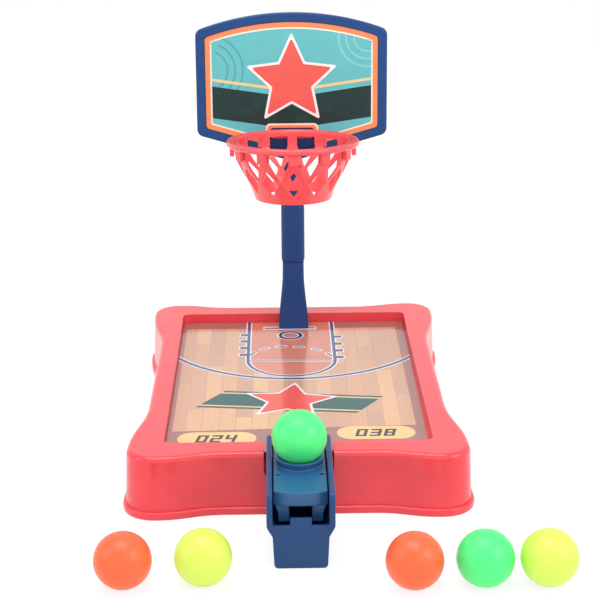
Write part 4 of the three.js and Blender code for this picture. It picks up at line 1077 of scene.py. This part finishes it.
def spring():
    low, high = CASE_FLOOR + GAP, LEVER_UNDER - GAP
    count = COIL_TURNS * COIL_STEPS
    points = [Vector((COIL_RADIUS, 0, low))]
    for step in range(count + 1):
        points.append(Vector((*polar(COIL_RADIUS, 2 * math.pi * step / COIL_STEPS),
                              low + COIL_END + (high - low - 2 * COIL_END) * step / count)))
    points.append(Vector((COIL_RADIUS, 0, high)))
    circle = [polar(1, math.pi * side / 6) for side in range(12)]
    rings, out = [], Vector((0, 1, 0))
    for index, point in enumerate(points):
        ahead = (points[min(index + 1, len(points) - 1)] - points[max(index - 1, 0)]).normalized()
        out = (out - ahead * out.dot(ahead)).normalized()
        across = ahead.cross(out)
        rings.append([point + (out * cos + across * sin) * COIL_WIRE for cos, sin in circle])
    return shifted(skinned(rings), 0, -CUP_Y)


set_down(launcher_body(), "launcher_body", launcher_blue, "launcher_housing", MOULDED_ANGLE)
set_down(launcher_lever(), "launcher_lever", lever_blue, "launch_lever", MOULDED_ANGLE, "lever")
set_down(lever_pin(), "lever_pin", dark_steel, "lever_pivot_pin")
coil = set_down(spring(), "lever_coil", steel, "lever_spring", MOULDED_ANGLE)
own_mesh(coil)


# Balls

def ball():
    """A blow-moulded ball with a faint seam round its middle."""
    profile = []
    for step in range(BALL_RINGS + 1):
        angle = math.pi * step / BALL_RINGS - math.pi / 2
        seam = SEAM_HEIGHT * math.exp(-(math.degrees(angle) / SEAM_WIDTH) ** 2)
        radius = (BALL_RADIUS - SEAM_HEIGHT + seam) * math.cos(angle)
        profile.append((radius, BALL_RADIUS * math.sin(angle)))
    profile[0], profile[-1] = (0, -BALL_RADIUS), (0, BALL_RADIUS)
    return lathe(profile, BALL_SIDES)


for colour, where, tip, turn in (
        ("green", "loaded", 25, 10), ("orange", "left", 70, 40), ("yellow", "left", 20, 65),
        ("orange", "right", 55, -30), ("green", "right", 80, 15), ("yellow", "right", 35, -60)):
    node = f"ball_{colour}_{where}"
    body = "loaded_ball" if where == "loaded" else f"{colour}_ball_{where}"
    low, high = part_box(node)
    piece = shifted(spun(spun(ball(), tip, "X"), turn, "Z"), *((low + high) / 2 / METRES))
    set_down(piece, "play_" + node, balls[colour], node, MOULDED_ANGLE, body)


# Camera, lights and floor

CAMERA_LENS, CAMERA_SENSOR, CAMERA_REACH = 96, 36, 20
CAMERA_TILT, CAMERA_YAW, CAMERA_ROLL = math.radians(71.544), -0.014438, -0.0067627
CAMERA_PLACE = (-10.571, -941.924, 397.65)
WORLD_LIGHT, FLOOR_GLOW, FLOOR_BOUNCE, FLOOR_SHADOW, FLOOR_HALF = 0.66, 0.78, 0.9, 0.3, 6


def camera():
    data = bpy.data.cameras.new("photo_camera")
    data.lens, data.sensor_width, data.clip_end = CAMERA_LENS, CAMERA_SENSOR, CAMERA_REACH
    matrix = Matrix.Translation(Vector(CAMERA_PLACE) * METRES)
    for angle, axis in ((CAMERA_YAW, "Z"), (CAMERA_TILT, "X"), (CAMERA_ROLL, "Z")):
        matrix @= Matrix.Rotation(angle, 4, axis)
    obj = linked("photo_camera", data)
    obj.matrix_world = matrix
    bpy.context.scene.camera = obj


def area_light(name, place, size, power, aim=0.08):
    """A rectangular light that faces a height on the Z axis."""
    data = bpy.data.lights.new(name, "AREA")
    data.shape, data.energy = "RECTANGLE", power
    data.size, data.size_y = size
    obj = linked(name, data)
    obj.location = place
    obj.rotation_euler = (Vector((0, 0, aim)) - Vector(place)).to_track_quat("-Z", "Y").to_euler()


def seen_rays(nodes):
    """1 for camera, glossy and transmission rays, 0 for the others."""
    path = nodes.add("LightPath")
    total = path["Is Camera Ray"]
    for output in ("Is Glossy Ray", "Is Transmission Ray"):
        total = nodes.maths("MAXIMUM", total, path[output])
    return total


def studio_world():
    """White where it is seen, and a plainer light on the object."""
    nodes = Nodes("studio", bpy.data.worlds)
    bpy.context.scene.world = nodes.owner
    strength = nodes.add("MapRange", {"Value": seen_rays(nodes), "To Min": WORLD_LIGHT})
    nodes.fill(nodes.tree.nodes["Background"], {"Color": (1, 1, 1, 1), "Strength": strength["Result"]})


def studio_floor():
    """A white floor that keeps the object's shadow, and bounces light as a pale one does."""
    nodes = Nodes("studio_floor")
    nodes.tree.nodes.remove(nodes.tree.nodes["Principled BSDF"])
    bounce, shadow = [nodes.add("BsdfDiffuse", {"Color": (grey, grey, grey, 1)})[0]
                      for grey in (FLOOR_BOUNCE, FLOOR_SHADOW)]
    glow = nodes.add("Emission", {"Strength": FLOOR_GLOW})[0]
    seen = nodes.add("AddShader", {0: shadow, 1: glow})[0]
    mix = nodes.add("MixShader", {"Fac": seen_rays(nodes), 1: bounce, 2: seen})[0]
    nodes.fill(nodes.tree.nodes["Material Output"], {"Surface": mix})
    corners = [(FLOOR_HALF * x, FLOOR_HALF * y, 0) for x, y in ((-1, -1), (1, -1), (1, 1), (-1, 1))]
    floor = mesh_object(corners, [(0, 1, 2, 3)], "studio_floor")
    floor.data.materials.append(nodes.owner)


camera()
studio_world()
studio_floor()
area_light("key_light", (-0.1, -0.22, 1.45), (0.9, 0.7), 8.5, 0.05)
area_light("right_light", (1.0, -0.7, 0.8), (0.7, 0.7), 5.5)
area_light("left_light", (-1.2, -0.45, 0.75), (0.6, 0.8), 3)
area_light("front_light", (0.1, -1.6, 0.6), (1.4, 0.9), 2.2)
bpy.context.scene.view_settings.view_transform = "Standard"
